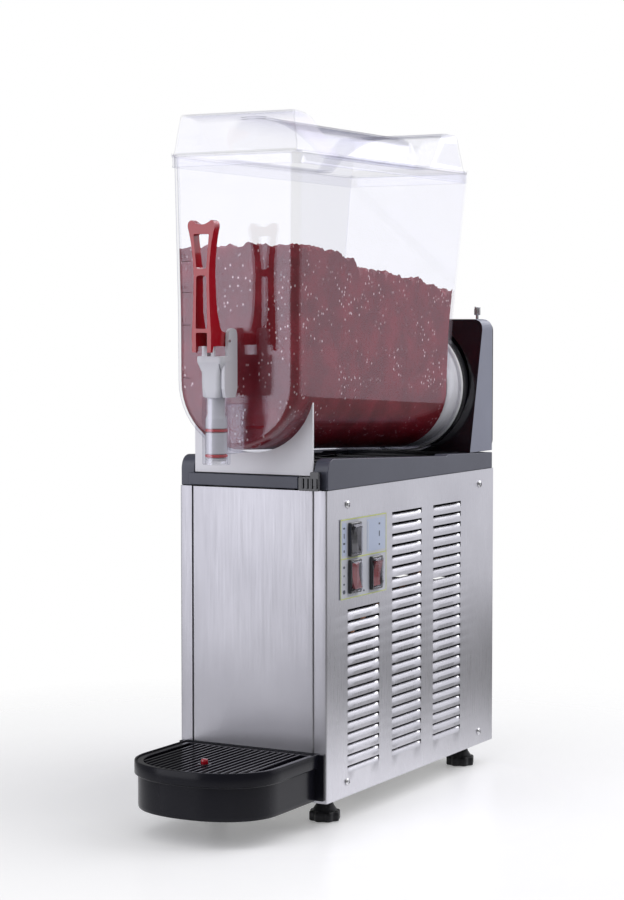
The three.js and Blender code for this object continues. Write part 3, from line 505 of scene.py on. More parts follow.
def moulded_plastic(name, dark, light, rough, grain=0.12, scale=1400, coat=0.0, specular=0.5):
    """Moulded plastic: fine grain, slow colour drift, and a coat where it is glossy."""
    made = Finish(name)
    made.set(Coat_Weight=coat, Coat_Roughness=0.04, Specular_IOR_Level=specular)
    fine = made.noise(scale, 2)
    slow = made.noise(14, 4)
    made.colour(made.ramp(slow, (0.3, dark), (0.7, light)))
    made.roughness(made.range(fine, rough - 0.03, rough + 0.05))
    made.bump(fine, grain, 0.0002)
    return made.material


EDGE_REFLECTION = 0.3        # how much clear plastic reflects when it is seen edge-on
FROST = 0.85                 # how much of the foot plate is seen as solid


def clear_plastic(name, reflection, edge):
    """Clear moulded plastic: it reflects by angle, and its see-through colour is painted darker where it is
    seen edge-on, painted shade in place of refraction.
    """
    made = Finish(name)
    made.set(Metallic=1.0, Roughness=0.02)
    waves = made.noise(22, 2)
    made.colour(made.ramp(waves, (0.2, (0.84, 0.83, 0.92)), (0.8, (0.9, 0.89, 0.98))))
    facing = made.node("LayerWeight")
    facing.inputs["Blend"].default_value = 0.5
    # The see-through colour darkens with facing: painted shade at grazing angles in place of refraction.
    edge_shade_tint = made.ramp(facing.outputs["Facing"], (0.0, (0.994, 0.994, 0.996)), (0.6, (0.968, 0.969, 0.98)),
                     (0.82, (0.9, 0.9, 0.935)), (0.95, (0.84, 0.84, 0.89)), (1.0, edge))
    through = made.node("BsdfTransparent")
    made.link(edge_shade_tint, through.inputs["Color"])
    grazing = made.power(facing.outputs["Facing"], 6.0)
    made.surfaces(made.range(grazing, reflection, EDGE_REFLECTION, 0, 1), through, made.shader)
    made.bump(waves, 0.02, 0.002)
    return made.material


def frosted_plastic():
    """Milky plastic that lets part of the light through."""
    made = Finish("frosted_plastic")
    made.set(Specular_IOR_Level=0.5)
    cloud = made.noise(30, 3)
    made.colour(made.ramp(cloud, (0.3, (0.88, 0.88, 0.93)), (0.7, (0.93, 0.93, 0.98))))
    made.roughness(made.range(cloud, 0.3, 0.42))
    made.bump(made.noise(900, 2), 0.1, 0.0002)
    made.surfaces(FROST, made.node("BsdfTransparent"), made.shader)
    return made.material


def slush_ice():
    """Red ice slush: deep red grains, paler frost in patches, and white bubbles against the wall."""
    made = Finish("slush_ice")
    made.set(Roughness=0.4, Specular_IOR_Level=0.2)
    grains = made.noise(420, 4)
    deep = made.ramp(grains, (0.3, (0.13, 0.0006, 0.005)), (0.7, (0.2, 0.002, 0.01)))
    pale = made.ramp(grains, (0.3, (0.2, 0.002, 0.009)), (0.7, (0.31, 0.014, 0.028)))
    patches = made.blend(made.range(made.noise(26, 4), 0.0, 1.0, 0.42, 0.66), deep, pale)
    cells = made.node("TexVoronoi")
    cells.inputs["Scale"].default_value = 200
    made.link(made.mapped((1, 1, 0.6)), cells.inputs["Vector"])
    near = made.range(cells.outputs["Distance"], 1.0, 0.0, 0.1, 0.24)
    crowd = made.range(made.noise(19, 4), 0.0, 1.0, 0.48, 0.6)
    bubbles = made.node("Math", operation="MULTIPLY")
    made.link(near, bubbles.inputs[0])
    made.link(crowd, bubbles.inputs[1])
    made.colour(made.blend(bubbles.outputs["Value"], patches, (1.0, 0.82, 0.85, 1)))
    made.bump(grains, 0.25, 0.0006)
    return made.material


def rubber(name, dark, light):
    made = Finish(name)
    fine = made.noise(2200, 2)
    made.colour(made.ramp(made.noise(60, 3), (0.3, dark), (0.7, light)))
    made.roughness(made.range(fine, 0.5, 0.66))
    made.bump(fine, 0.15, 0.0002)
    return made.material


# The brighter stainless copy below is painted light for the side panels' sideways faces; the darker copy
# serves the front panel and the faces that look forward.
STAINLESS = brushed_metal("stainless", (0.41, 0.405, 0.435), (0.465, 0.46, 0.49), 0.33)
STAINLESS_PAINTED_LIT = brushed_metal("stainless_painted_lit", (0.6, 0.595, 0.635), (0.68, 0.675, 0.715), 0.3)
POLISHED = machined_metal("polished_steel", (0.6, 0.6, 0.62), (0.72, 0.72, 0.74), 0.18)
ZINC = machined_metal("zinc_plate", (0.42, 0.42, 0.4), (0.55, 0.55, 0.53), 0.42)
ALUMINIUM = machined_metal("aluminium", (0.5, 0.51, 0.52), (0.62, 0.63, 0.64), 0.36)
COPPER = machined_metal("copper", (0.62, 0.3, 0.17), (0.75, 0.4, 0.25), 0.3)
SLATE = moulded_plastic("slate_plastic", (0.06, 0.064, 0.09), (0.07, 0.075, 0.104), 0.36, 0.1)
# A lighter copy of the slate, painted light for the tower's sides and top.
SLATE_PAINTED_LIT = moulded_plastic("slate_plastic_painted_lit", (0.18, 0.19, 0.25), (0.21, 0.22, 0.285), 0.4, 0.1)
GLOSS = moulded_plastic("black_gloss", (0.006, 0.006, 0.009), (0.010, 0.010, 0.014), 0.12, 0.02, coat=0.5)
SATIN = moulded_plastic("black_satin", (0.005, 0.005, 0.007), (0.009, 0.009, 0.011), 0.34, 0.12,
                        specular=0.25)
TRAY = moulded_plastic("tray_black", (0.005, 0.005, 0.009), (0.008, 0.008, 0.012), 0.2, 0.04, specular=0.2)
WHITE = moulded_plastic("white_plastic", (0.64, 0.64, 0.7), (0.7, 0.7, 0.75), 0.3, 0.04)
RED = moulded_plastic("red_plastic", (0.33, 0.001, 0.008), (0.4, 0.002, 0.012), 0.18, 0.02, coat=0.8)
DARK_RED = moulded_plastic("dark_red_plastic", (0.17, 0.003, 0.008), (0.23, 0.005, 0.012), 0.2, 0.02,
                           coat=0.3)
ENAMEL = moulded_plastic("black_enamel", (0.008, 0.008, 0.009), (0.02, 0.02, 0.022), 0.3, 0.2, 300)
# Near-black sheet material, painted shade for the dark inside of the body behind the louvres.
INSIDE_SHADE = moulded_plastic("inside_shade_sheet", (0.008, 0.008, 0.009), (0.02, 0.02, 0.021), 0.8, 0.6, 500,
                         specular=0.1)
LABEL = moulded_plastic("label_sheet", (0.5, 0.515, 0.57), (0.54, 0.555, 0.61), 0.35, 0.03)
LABEL_BLUE = moulded_plastic("label_blue", (0.43, 0.49, 0.64), (0.48, 0.54, 0.68), 0.35, 0.03)
LINE = moulded_plastic("label_line", (0.5, 0.56, 0.13), (0.58, 0.64, 0.2), 0.4, 0.03)
MARK = moulded_plastic("label_mark", (0.06, 0.07, 0.1), (0.1, 0.11, 0.14), 0.4, 0.03)
TICK = moulded_plastic("tick_print", (0.055, 0.004, 0.012), (0.09, 0.01, 0.02), 0.4, 0.03)
RED_RUBBER = rubber("red_rubber", (0.5, 0.01, 0.02), (0.62, 0.02, 0.03))
WHITE_RUBBER = rubber("white_rubber", (0.8, 0.8, 0.82), (0.87, 0.87, 0.89))
CLEAR = clear_plastic("clear_plastic", 0.055, (0.2, 0.2, 0.27))
CLEAR_TUBE = clear_plastic("clear_tube", 0.1, (0.08, 0.08, 0.11))
FROSTED = frosted_plastic()
SLUSH = slush_ice()


# ---------- steel body ----------

def front_panel():
    """A sheet with rounded folds at both sides and two slots for the tray's hooks."""
    edge, depth = STRIP - 1, 10
    outer = rounded([(-edge, depth), (-edge, 0), (edge, 0), (edge, depth)], [0, 2, 2, 0])
    inside = edge - SHEET
    inner = rounded([(inside, depth), (inside, SHEET), (-inside, SHEET), (-inside, depth)], [0, 1, 1, 0])
    obj = mesh_object("front_sheet", prism(outer + inner, "z", BODY_BOTTOM + 0.3, BODY_TOP - 0.3))
    for x in HOOKS:
        combine(obj, block((x - 11, x + 11), (-5, 5), (57, 66)))
    smooth(obj)
    finish(obj, STAINLESS, "housing", "stainless", "front_panel")


def louvre_depth(y, z):
    """How far a side panel is pressed in at (y, z)."""
    for start, count in LOUVRE_COLUMNS:
        from_end = min(y - start, start + LOUVRE_LENGTH - y)
        if from_end <= 0:
            continue
        row = math.ceil((z - LOUVRE_FIRST) / LOUVRE_PITCH - 1e-6)
        if not 0 <= row < count:
            return 0.0
        below = LOUVRE_FIRST + row * LOUVRE_PITCH - z
        if below < LOUVRE_SLIT - 0.01:
            return 0.0
        rise = max(0.0, 1 - (below - LOUVRE_SLIT) / 6.0)
        across = math.sqrt(1 - (1 - min(1.0, from_end / 9)) ** 2)
        return LOUVRE_DEPTH * rise ** 1.6 * across
    return 0.0


def in_slit(y, z):
    """Whether the middle of a cell at (y, z) lies in a louvre's open slit."""
    for start, count in LOUVRE_COLUMNS:
        row = math.ceil((z - LOUVRE_FIRST) / LOUVRE_PITCH)
        if start < y < start + LOUVRE_LENGTH and 0 <= row < count:
            return LOUVRE_FIRST + row * LOUVRE_PITCH - z < LOUVRE_SLIT
    return False


def panel_lines():
    """The panel's plan as (x, y) points, and its levels."""
    across = [(STRIP, 0), (90, 0)] + arc(BODY_HALF - FOLD, FOLD, FOLD, -90, 0, 4)
    for start, _ in LOUVRE_COLUMNS:
        shares = (0, 0.012, 0.035, 0.07, 0.12, 0.3, 0.5, 0.7, 0.88, 0.93, 0.965, 0.988, 1)
        across += [(BODY_HALF, start + LOUVRE_LENGTH * share) for share in shares]
    across += [(BODY_HALF, 420)]
    across += arc(BODY_HALF - FOLD, BODY_DEPTH - FOLD, FOLD, 0, 90, 4)
    across += [(90, BODY_DEPTH), (STRIP, BODY_DEPTH)]
    levels = [BODY_BOTTOM, BODY_BOTTOM + 12]
    for row in range(23):
        top = LOUVRE_FIRST + row * LOUVRE_PITCH
        levels += [top - LOUVRE_SLIT - below for below in (6, 4, 2, 1, 0)] + [top]
    levels += [BODY_TOP - 10, BODY_TOP]
    return across, levels


def side_panel(name, side, node):
    across, levels = panel_lines()
    rows = []
    for z in levels:
        rows.append([(side * (x - (louvre_depth(y, z) if x == BODY_HALF else 0)), y, z) for x, y in across])
    vertices, faces = grid(rows)
    width = len(across)
    kept = []
    for face in faces:
        middle = sum((Vector(vertices[i]) for i in face), Vector()) / 4
        column = face[0] % width
        flat = across[column][0] == BODY_HALF and across[column + 1][0] == BODY_HALF
        if not (flat and in_slit(middle.y, middle.z)):
            kept.append(face if side > 0 else face[::-1])
    obj = mesh_object(name, (vertices, kept), weld=False)
    thicken(obj, SHEET)
    if side > 0:
        for _, y, z in SWITCHES:
            combine(obj, block((90, 110), (y - 12.2, y + 12.2), (z - 19.2, z + 19.2)))
    smooth(obj, 18)
    finish(obj, [STAINLESS_PAINTED_LIT, STAINLESS], "housing", "stainless", node)
    # Light and shade painted by facing: forward-facing faces take the darker stainless, the rest take the
    # brighter copy.
    for polygon in obj.data.polygons:
        polygon.material_index = 1 if polygon.normal.y < -0.6 else 0


def inside_shade_sheets():
    """Dark sheets behind the left louvres and the rear vents, painted shade for the dark inside of the body.
    """
    left = prism(rectangle(30, 437, 50, 372, 4), "x", -93, -91.5)
    rear = prism(rectangle(-80, 80, 245, 385, 4), "y", 459.5, 461)
    piece("inside_shade_left", left, INSIDE_SHADE, "housing", "black_satin")
    piece("inside_shade_rear", rear, INSIDE_SHADE, "housing", "black_satin")


def screw_form():
    """A pan head with a cross recess, facing +X at the origin."""
    head = [(0, -2), (1.9, -2), (1.9, 0), (4.7, 0), (4.7, 0.5)]
    head += [(4.7 * math.cos(t), 0.5 + 2.2 * math.sin(t)) for t in (0.35, 0.7, 1.05, 1.35)] + [(0, 2.75)]
    obj = mesh_object("screw_form", turned(head, "x", (0, 0, 0), 28))
    combine(obj, block((1.3, 4), (-2.7, 2.7), (-0.6, 0.6)))
    combine(obj, block((1.3, 4), (-0.6, 0.6), (-2.7, 2.7)))
    vertices = [(v.co.x / MM, (v.co.y - FRONT_Y) / MM, v.co.z / MM) for v in obj.data.vertices]
    faces = [tuple(p.vertices) for p in obj.data.polygons]
    bpy.data.objects.remove(obj)
    return vertices, faces


def panel_screws():
    form = screw_form()
    names = ("front_top", "front_bottom", "rear_top", "rear_bottom")
    for name, (y, z), twist in zip(names, SCREW_PLACES, (20, 65, 40, 10)):
        turn = Matrix.Rotation(math.radians(twist), 4, "X")
        right = moved(form, Matrix.Translation((BODY_HALF + 0.25, y, z)) @ turn)
        piece("screw_" + name, right, POLISHED, "housing", "polished_steel", "panel_screw_" + name)
        mirror = Matrix.Translation((-BODY_HALF - 0.25, y, z)) @ Matrix.Rotation(math.pi, 4, "Z") @ turn
        piece("screw_left_" + name, moved(form, mirror), POLISHED, "housing", "polished_steel")
    for x in (-88, 88):
        for z in (430, 580):
            back = Matrix.Translation((x, 465.4, z)) @ Matrix.Rotation(math.pi / 2, 4, "Z")
            label = f"screw_cover_{'left' if x < 0 else 'right'}_{z}"
            piece(label, moved(form, back), POLISHED, "housing", "polished_steel")


def foot(name, x, y):
    """A screw foot: a lobed wheel under a cone, with a flat underside."""
    def outline(inset):
        return lobed(x, y, 96, lambda i, turn: 17.8 + 1.2 * math.cos(turn * 8) - inset)
    wheel = layered(outline, [(2, 0), (0.5, 0.4), (0, 1.6), (0, 10), (0.8, 11.4), (2.4, 12)])
    cone = turned([(0, 11), (14.6, 11), (14.2, 13.4), (11, 18), (8.6, 24), (8, 28.5), (0, 28.5)], "z",
                  (x, y, 0))
    stud = turned([(0, 28), (3.9, 28), (3.9, 45), (3, 46), (0, 46)], "z", (x, y, 0), 24)
    piece(name + "_moulding", joined(wheel, cone, stud), SATIN, name, "black_satin", name, angle=50)


def feet():
    for side, x in FEET.items():
        foot("foot_front_" + side, x, FEET_FRONT)
        foot("foot_rear_" + side, x, FEET_REAR)


# ---------- controls ----------

def switch_plate():
    holes = [(y, z) for _, y, z in SWITCHES]
    plate = mesh_object("control_label", prism(rectangle(31.3, 149, 264, 359, 2), "x", 100.3, PLATE_X))
    for y, z in holes:
        combine(plate, block((95, 110), (y - 12, y + 12), (z - 19, z + 19)))
    smooth(plate)
    finish(plate, LABEL, "housing", "label_sheet", "switch_plate")
    high = PLATE_X + 0.18
    across = [((31.6, 148.7), z) for z in ((357.4, 358.7), (311.4, 312.6), (264.3, 265.3))]
    upright = [(y, (265, 358)) for y in ((31.6, 32.7), (147.6, 148.7))]
    lines = [block((PLATE_X, high), y, z) for y, z in across + upright]
    piece("label_lines", joined(*lines), LINE, "housing", "label_sheet")
    cells = [
        prism(rectangle(98, 145.5, 315.5, 354.5, 1.5), "x", PLATE_X, high),
        prism(rectangle(35, 46, 315.5, 354.5, 1.5), "x", PLATE_X, high),
    ]
    piece("label_cells", joined(*cells), LABEL_BLUE, "housing", "label_sheet")
    divider = prism(rectangle(99.5, 101.5, 318, 352, 0.8), "x", high, high + 0.1)
    piece("label_divider", divider, LABEL, "housing", "label_sheet")
    marks = []
    for y, z, dy, dz in ((40, 348, 2.4, 1), (40, 339, 1, 3), (40, 330, 2.6, 1.2), (40, 321, 1.6, 1.6),
                         (130, 347, 1.8, 1.2), (130, 335, 1.1, 3.4), (130, 322, 1.6, 1.2),
                         (40, 302, 2.2, 1.4), (40, 292, 1.2, 1.2), (40, 282, 2, 1), (40, 273, 2.8, 2.4),
                         (82, 302, 1, 2.4), (140, 302, 1, 2.4), (140, 276, 1.2, 1.6), (90, 270, 1.6, 1)):
        marks.append(prism(rectangle(y - dy, y + dy, z - dz, z + dz, min(dy, dz)), "x", high, high + 0.15))
    piece("label_marks", joined(*marks), MARK, "housing", "label_sheet")


def rocker_switch(name, y, z):
    """A bevelled bezel with the switch body behind it, under a clear boot."""
    def outline(inset):
        half, high = 13.5 - inset, 20 - inset
        return rectangle(y - half, y + half, z - high, z + high, max(0.4, 1.8 - inset * 0.3), 3)
    face = PLATE_X + 0.3
    profile = [(2.2, 82), (2.2, face), (0, face), (0, face + 3.6), (0.6, face + 4.3), (2.4, face + 4.3),
               (3.4, face + 3.2), (3.9, face + 1), (3.9, 96)]
    piece("bezel_" + name, layered(outline, profile, "x"), GLOSS, "housing", "black_gloss",
          "switch_body_" + name)
    shell = [(2.6, face + 4.35), (2.2, face + 4.9), (2.6, face + 5.6), (4.4, face + 7.4), (6.2, face + 8.6),
             (7.6, face + 9.0)]
    rings = [[ALONG["x"](u, v, level) for u, v in outline(inset)] for inset, level in shell]
    obj = mesh_object("boot_" + name, skin_capped(rings))
    thicken(obj, 0.5)
    smooth(obj, 50)
    finish(obj, CLEAR, "housing", "clear_plastic")


# ---------- top casing and tower ----------

def top_casing():
    bottom = BODY_TOP + 0.3
    rear = BODY_DEPTH - 5
    outline = [(3, bottom), (rear, bottom), (rear, 415.7), (325, 419.8), (321, 417.7), (18, 431)]
    outline += bend((18, 431), (5, 430), (3, 416), 8)
    rails = [prism(outline, "x", a, b) for a, b in ((-BODY_HALF, -81.5), (81.5, BODY_HALF))]
    bands = [block((-88, 62), (-1, 9), (396, 410)), block((-82, 82), (458.2, 462), (bottom, 417.8))]
    piece("casing_rails", joined(*rails, *bands), SLATE, "housing", "slate_plastic", "top_casing", edge=0.9)
    deck = mesh_object("casing_deck", block((-81.4, 81.4), (8, BODY_DEPTH - 5.2), (DECK - 3, DECK)))
    combine(deck, block((-60, 60), (412, 458), (400, 420)))
    bevel(deck, 0.6)
    finish(deck, SATIN, "housing", "slate_plastic")
    ribs = [block((-70, 70), (y, y + 2), (DECK - 0.2, DECK + 2.6)) for y in range(40, 341, 60)]
    ribs += [block((x, x + 2), (14, 360), (DECK - 0.2, DECK + 3.2)) for x in (-74, 72)]
    piece("casing_ribs", joined(*ribs), GLOSS, "housing", "slate_plastic", edge=0.5)


def bowl_catch():
    grip = prism(rectangle(67, 94, 394.6, 410.4, 2), "y", -8.6, -1.3)
    finger = prism(rectangle(82.6, 93.9, 400, 416.9, 2.4), "y", -8.9, -1.3)
    ribs = [prism(rectangle(x, x + 2.4, 397, 409, 1), "y", -10.3, -6) for x in (72, 78, 84, 90)]
    piece("catch_moulding", joined(grip, finger, *ribs), GLOSS, "bowl_catch", "black_satin", "bowl_catch",
          edge=0.5)


def tower_front(z):
    return 393 + (z - 419) * 0.23


def tower():
    """The leaning tower shell: gloss black in front; its sides and top take a lighter copy of the slate,
    painted light.
    """
    half, low, top, rear, wall = 99.5, 418.4, 592.8, 462, 3
    outer = rectangle(-half, half, low, top, [0, 0, 16, 16], 8)
    inner = rectangle(wall - half, half - wall, low - 9, top - wall, [0, 0, 13, 13], 8)
    obj = mesh_object("tower_shell", skin([[(x, tower_front(z), z) for x, z in outer],
                                           [(x, rear, z) for x, z in outer]]))
    combine(obj, skin([[(x, tower_front(z) + wall, z) for x, z in inner],
                       [(x, rear + 9, z) for x, z in inner]]))
    combine(obj, on_axis(rod(89, -60, 60, "y", (0, 0, 0), 96)))
    combine(obj, rod(2.6, top - 9, top + 9, "z", (*DENSITY_SCREW, 0), 24))
    bevel(obj, 1.4, 3, 40)
    finish(obj, [GLOSS, SLATE_PAINTED_LIT], "housing", "black_gloss", "tower_housing")
    # The front and bottom faces take gloss black; the others take the lighter slate copy, painted light.
    for polygon in obj.data.polygons:
        polygon.material_index = 0 if polygon.normal.y < -0.8 or polygon.center.z < (low + 0.1) * MM else 1


def tower_riser():
    """The step that carries the tower's front on the deck."""
    step = block((-81, 81), (389, 393), (DECK + 0.2, 419))
    piece("tower_riser", step, GLOSS, "housing", "black_gloss", edge=0.6)


def density_screw():
    """A knurled knob on a shank."""
    x, y = DENSITY_SCREW

    def outline(inset):
        return lobed(x, y, 120, lambda i, turn: 4.15 - inset - 0.22 * (i % 5 in (0, 1)))
    knob = layered(outline, [(0.7, 598), (0, 598.8), (0, 608.5), (0.8, 609.4)])
    shank = rod(2, 562, 598.4, "z", (x, y, 0), 20)
    piece("density_knob", joined(knob, shank), POLISHED, "density_screw", "polished_steel", "density_screw")


# ---------- cooling cylinder ----------

def flange():
    profile = [(9, -30), (69.6, -30), (69.6, 5), (86.6, 5), (87.9, 6), (87.9, 11), (87, 12), (9, 12),
               (9, -30)]
    piece("cylinder_flange", turned_on_axis(profile), GLOSS, "housing", "black_gloss", "evaporator_flange")


def gasket():
    profile = [(70, -30), (77.2, -30), (78.4, -28), (79.2, -24), (78.6, -20), (79.2, -16), (79.2, 0.4),
               (83, 0.4), (84, 1.4), (84, 3.6), (83, 4.6), (70, 4.6), (70, -30)]
    piece("gasket_moulding", turned_on_axis(profile), WHITE_RUBBER, "housing", "white_rubber", "bowl_gasket")


def drum():
    profile = [(52.5, -30.3), (52.5, -391), (8.5, -391), (8.5, -395), (49, -395), (52, -394.2), (54.3, -392),
               (55, -389), (55, -30.3), (52.5, -30.3)]
    piece("drum_shell", turned_on_axis(profile), POLISHED, "housing", "polished_steel", "evaporator_drum")


# ---------- bowl, slush, lid ----------

def bowl_stations(inset, count):
    """(share of the way to the rear, corner inset) for each section: the corner's arc, then the wall."""
    radius = CORNER - inset
    length = BOWL_LENGTH - 2 * inset
    turns = [math.radians(15 * i) for i in range(7)]
    stations = [(radius * (1 - math.cos(t)) / length, radius * (1 - math.sin(t))) for t in turns]
    start = stations[-1][0]
    return stations + [(start + (1 - start) * i / count, 0.0) for i in range(1, count + 1)]


def bowl_point(x_share, z, share, inset, narrow):
    """A point of the upright wall: x_share is -1 or 1."""
    half = interpolate(BOWL_HALF, z) - inset - narrow
    front = interpolate(BOWL_FRONT, z) + inset
    rear = interpolate(BOWL_REAR, z) - inset
    return (x_share * half, front + share * (rear - front), z)


def bowl_section(share, inset, narrow, top):
    """One section from the right top edge, under the trough, to the left top edge."""
    front = interpolate(BOWL_FRONT, TROUGH_LEVEL)
    y = front + inset + share * (COLLAR_Y - inset - front - inset)
    centre = axis_height(y)
    right, left = [], []
    for k in range(WALL_ROWS):
        share_up = 1 - k / WALL_ROWS
        right.append(bowl_point(1, centre + (top(1, y) - centre) * share_up, share, inset, narrow))
        left.append(bowl_point(-1, centre + (top(-1, y) - centre) * share_up, share, inset, narrow))
    under = [(u, y, v) for u, v in arc(0, centre, TROUGH - inset - narrow, 0, -180, TROUGH_SIDES)]
    return right + under + left[::-1]


def ladder(section, columns=8, first=0):
    """Rows of points across a section, between its mirrored points."""
    rows = []
    for i in range(first, len(section) // 2 + 1):
        a, b = Vector(section[i]), Vector(section[-1 - i])
        rows.append([tuple(a.lerp(b, j / columns)) for j in range(columns + 1)])
    return rows


def rear_wall():
    """The bowl's rear wall above the collar: a column of points up from each point of its arch."""
    columns = []
    for i in range(TROUGH_SIDES + 1):
        turn = math.pi * i / TROUGH_SIDES
        low = axis_height(COLLAR_Y) + TROUGH * math.sin(turn)
        levels = [low + (BOWL_TOP - low) * k / WALL_ROWS for k in range(WALL_ROWS + 1)]
        x = math.cos(turn)
        columns.append([(x * interpolate(BOWL_HALF, z), interpolate(BOWL_REAR, z), z) for z in levels])
    return columns


def bowl_shell():
    """The clear bowl: trough, walls and collar as one sheet, thickened inwards."""
    sections = [bowl_section(share, 0, narrow, lambda side, y: BOWL_TOP)
                for share, narrow in bowl_stations(0, 10)]
    rear = rear_wall()
    lower = sections[-1][WALL_ROWS:WALL_ROWS + TROUGH_SIDES + 1][::-1]
    loop = [column[0] for column in rear] + lower[1:-1]
    end = on_axis(([(u, 0, v) for u, v in arc(0, 0, TROUGH, 0, 360, 2 * TROUGH_SIDES)[:-1]], []))[0]
    rings = [[tuple(Vector(a).lerp(Vector(b), k / 4)) for a, b in zip(loop, end)] for k in range(5)]
    collar = skin(rings, closed=False)
    obj = mesh_object("bowl_shell", joined(grid(sections), grid(ladder(sections[0])), grid(rear), collar))
    thicken(obj, WALL)
    smooth(obj, 40)
    return obj


def bowl_tube():
    """The tap's tube and its bridge to the bowl."""
    profile = [(13, 427), (15.2, 427), (16, 427.8), (16, 503), (13, 503), (13, 427)]
    tube = turned(profile, "z", TAP, 48)
    bridge = prism(rectangle(-11, 11, 438, 495, 5), "y", -65.4, -37)
    piece("bowl_tube", joined(tube, bridge), CLEAR_TUBE, "bowl", "clear_plastic", angle=40)


def bowl_foot():
    """The milky foot plate under the trough, with its ledge."""
    reach = math.degrees(math.asin(80 / 83.3))
    curve = arc(0, axis_height(4), 83.3, -90 + reach, -90 - reach, 24)
    plate = prism([(-80, 411.4), (80, 411.4)] + curve, "y", 2.5, 5.5)
    ledge = prism(rectangle(-62, 62, 411.4, 414.4), "y", 5, 14)
    piece("bowl_foot", joined(plate, ledge), FROSTED, "bowl", "clear_plastic", angle=40)


def bowl():
    finish(bowl_shell(), CLEAR, "bowl", "clear_plastic", "bowl")
    bowl_tube()
    bowl_foot()
    ticks = []
    for z in TICKS:
        y = interpolate(BOWL_FRONT, z)
        ticks.append(block((-72, -61), (y - 0.25, y + 0.1), (z - 0.45, z + 0.45)))
        ticks.append(block((-72, -71.2), (y - 0.25, y + 0.1), (z + 4, z + 9)))
    piece("bowl_ticks", joined(*ticks), TICK, "bowl", "red_plastic")


def slush_height(x, y):
    """The slush's ragged top: the run along the wall, heaps, and small lumps."""
    base = interpolate(SLUSH_TOP, y)
    heap = 5 * (1 - (x / 80) ** 2) * math.sin((y + 38) / BOWL_LENGTH * math.pi)
    broad = 6 * noise.noise((x / 30, y / 30, 3.1))
    lumps = 5.5 * noise.noise((x / 10, y / 10, 7.7)) + 2.8 * noise.noise((x / 4.2, y / 4.2, 1.2))
    return base + heap + broad + lumps


def slush():
    inset = WALL + SLUSH_GAP
    top = lambda side, y: slush_height(side * 79.6, y)
    stations = bowl_stations(inset, 130)
    sections = [bowl_section(share, inset, narrow, top) for share, narrow in stations]
    columns = 44
    surface = []
    for section in sections:
        row = ladder(section, columns)[0]
        inner = [(x, y, slush_height(x, y)) for x, y, z in row[1:-1]]
        surface.append([row[0], *inner, row[-1]])
    ends = [grid([row] + ladder(section, columns, 1))
            for section, row in ((sections[0], surface[0]), (sections[-1], surface[-1]))]
    obj = mesh_object("slush", joined(grid(sections), grid(surface), *ends))
    combine(obj, on_axis(rod(TUNNEL, -423, 30, "y", (0, 0, 0), 96)))
    smooth(obj, 50)
    finish(obj, SLUSH, "bowl", "red_plastic")


def soft_max(a, b, width):
    share = max(width - abs(a - b), 0.0) / width
    return max(a, b) + share * share * width / 4


def soft_min(a, b, width):
    return -soft_max(-a, -b, width)


def hump(x, wall, slope, ends, width):
    """A hump's height at x: ends rounds its wall and slope, width rounds them with the sides and top."""
    side = LID_PLATE + (83.5 - abs(x)) * 6.4
    return soft_min(soft_min(wall, slope, ends), soft_min(side, LID_TOP, 9), width)


def front_hump(x, y):
    slope = interpolate(((-24, LID_TOP + 2), (-8, LID_TOP - 1), (6, LID_TOP - 6), (18, LID_TOP - 14),
                         (28, LID_TOP - 23), (66, LID_PLATE), (90, LID_PLATE - 30)), y)
    return hump(x, LID_PLATE + (y + 38) * 11, slope, 7, 7)


def rear_hump(x, y):
    return hump(x, LID_PLATE + (406 - y) * 6.5, LID_PLATE + (y - 304) * 0.92, 10, 9)


def ridge(x, y):
    along = min(y - 2, 372 - y)
    if abs(x) >= 58 or along < 0:
        return LID_PLATE - 20
    return LID_PLATE + 45.5 * math.sqrt(1 - (x / 58) ** 2)


def lid_height(x, y):
    humps = max(front_hump(x, y), rear_hump(x, y))
    return max(soft_max(soft_max(humps, ridge(x, y), 5), LID_PLATE, 4) - 1, LID_PLATE)


def spaced(start, end, step):
    """Places about a step apart, from start up to end but without end itself."""
    count = max(1, round((end - start) / step))
    return [start + (end - start) * i / count for i in range(count)]


def rim_point(point, out, z):
    """A point of the lid's border, pushed out to the rounded rim."""
    x, y = point[0], point[1] - LID_MIDDLE
    inner = (LID_REACH[0] + out - LID_CORNER, LID_REACH[1] + out - LID_CORNER)
    cx = max(-inner[0], min(inner[0], x))
    cy = max(-inner[1], min(inner[1], y))
    away = Vector((x - cx, y - cy))
    if away.length < 1e-6:
        away = Vector((math.copysign(1, x), 0))
    away = away.normalized() * LID_CORNER
    return (cx + away.x, LID_MIDDLE + cy + away.y, z)


def lid():
    """The lid as one sheet: two humps with a ridge between them, a flat rim and a skirt."""
    xs = spaced(-86, -72, 1.0) + spaced(-72, -60, 1.5) + spaced(-60, -52, 0.8) + spaced(-52, 52, 4)
    xs += spaced(52, 60, 0.8) + spaced(60, 72, 1.5) + spaced(72, 86, 1.0) + [86]
    ys = spaced(-40, -30, 0.7) + spaced(-30, 70, 2.2) + spaced(70, 298, 12) + spaced(298, 360, 2.2)
    ys += spaced(360, 409.5, 1.3) + [409.5]
    rows = [[(x, y, lid_height(x, y)) for x in xs] for y in ys]
    border = rows[0] + [row[-1] for row in rows[1:-1]] + rows[-1][::-1] + [row[0] for row in rows[-2:0:-1]]
    rings = [border]
    for out, z in ((-1.8, LID_PLATE), (-0.6, LID_PLATE - 0.4), (0, LID_PLATE - 1.4), (0, LID_PLATE - 3),
                   (-0.7, LID_PLATE - 3.6), (-0.7, 772), (-0.2, 770.3)):
        rings.append([rim_point(point, out, z) for point in border])
    obj = mesh_object("lid_shell", joined(grid(rows), skin(rings, closed=False)))
    thicken(obj, 2.2)
    smooth(obj, 45)
    finish(obj, CLEAR, "lid", "clear_plastic", "lid")


# ---------- tap ----------

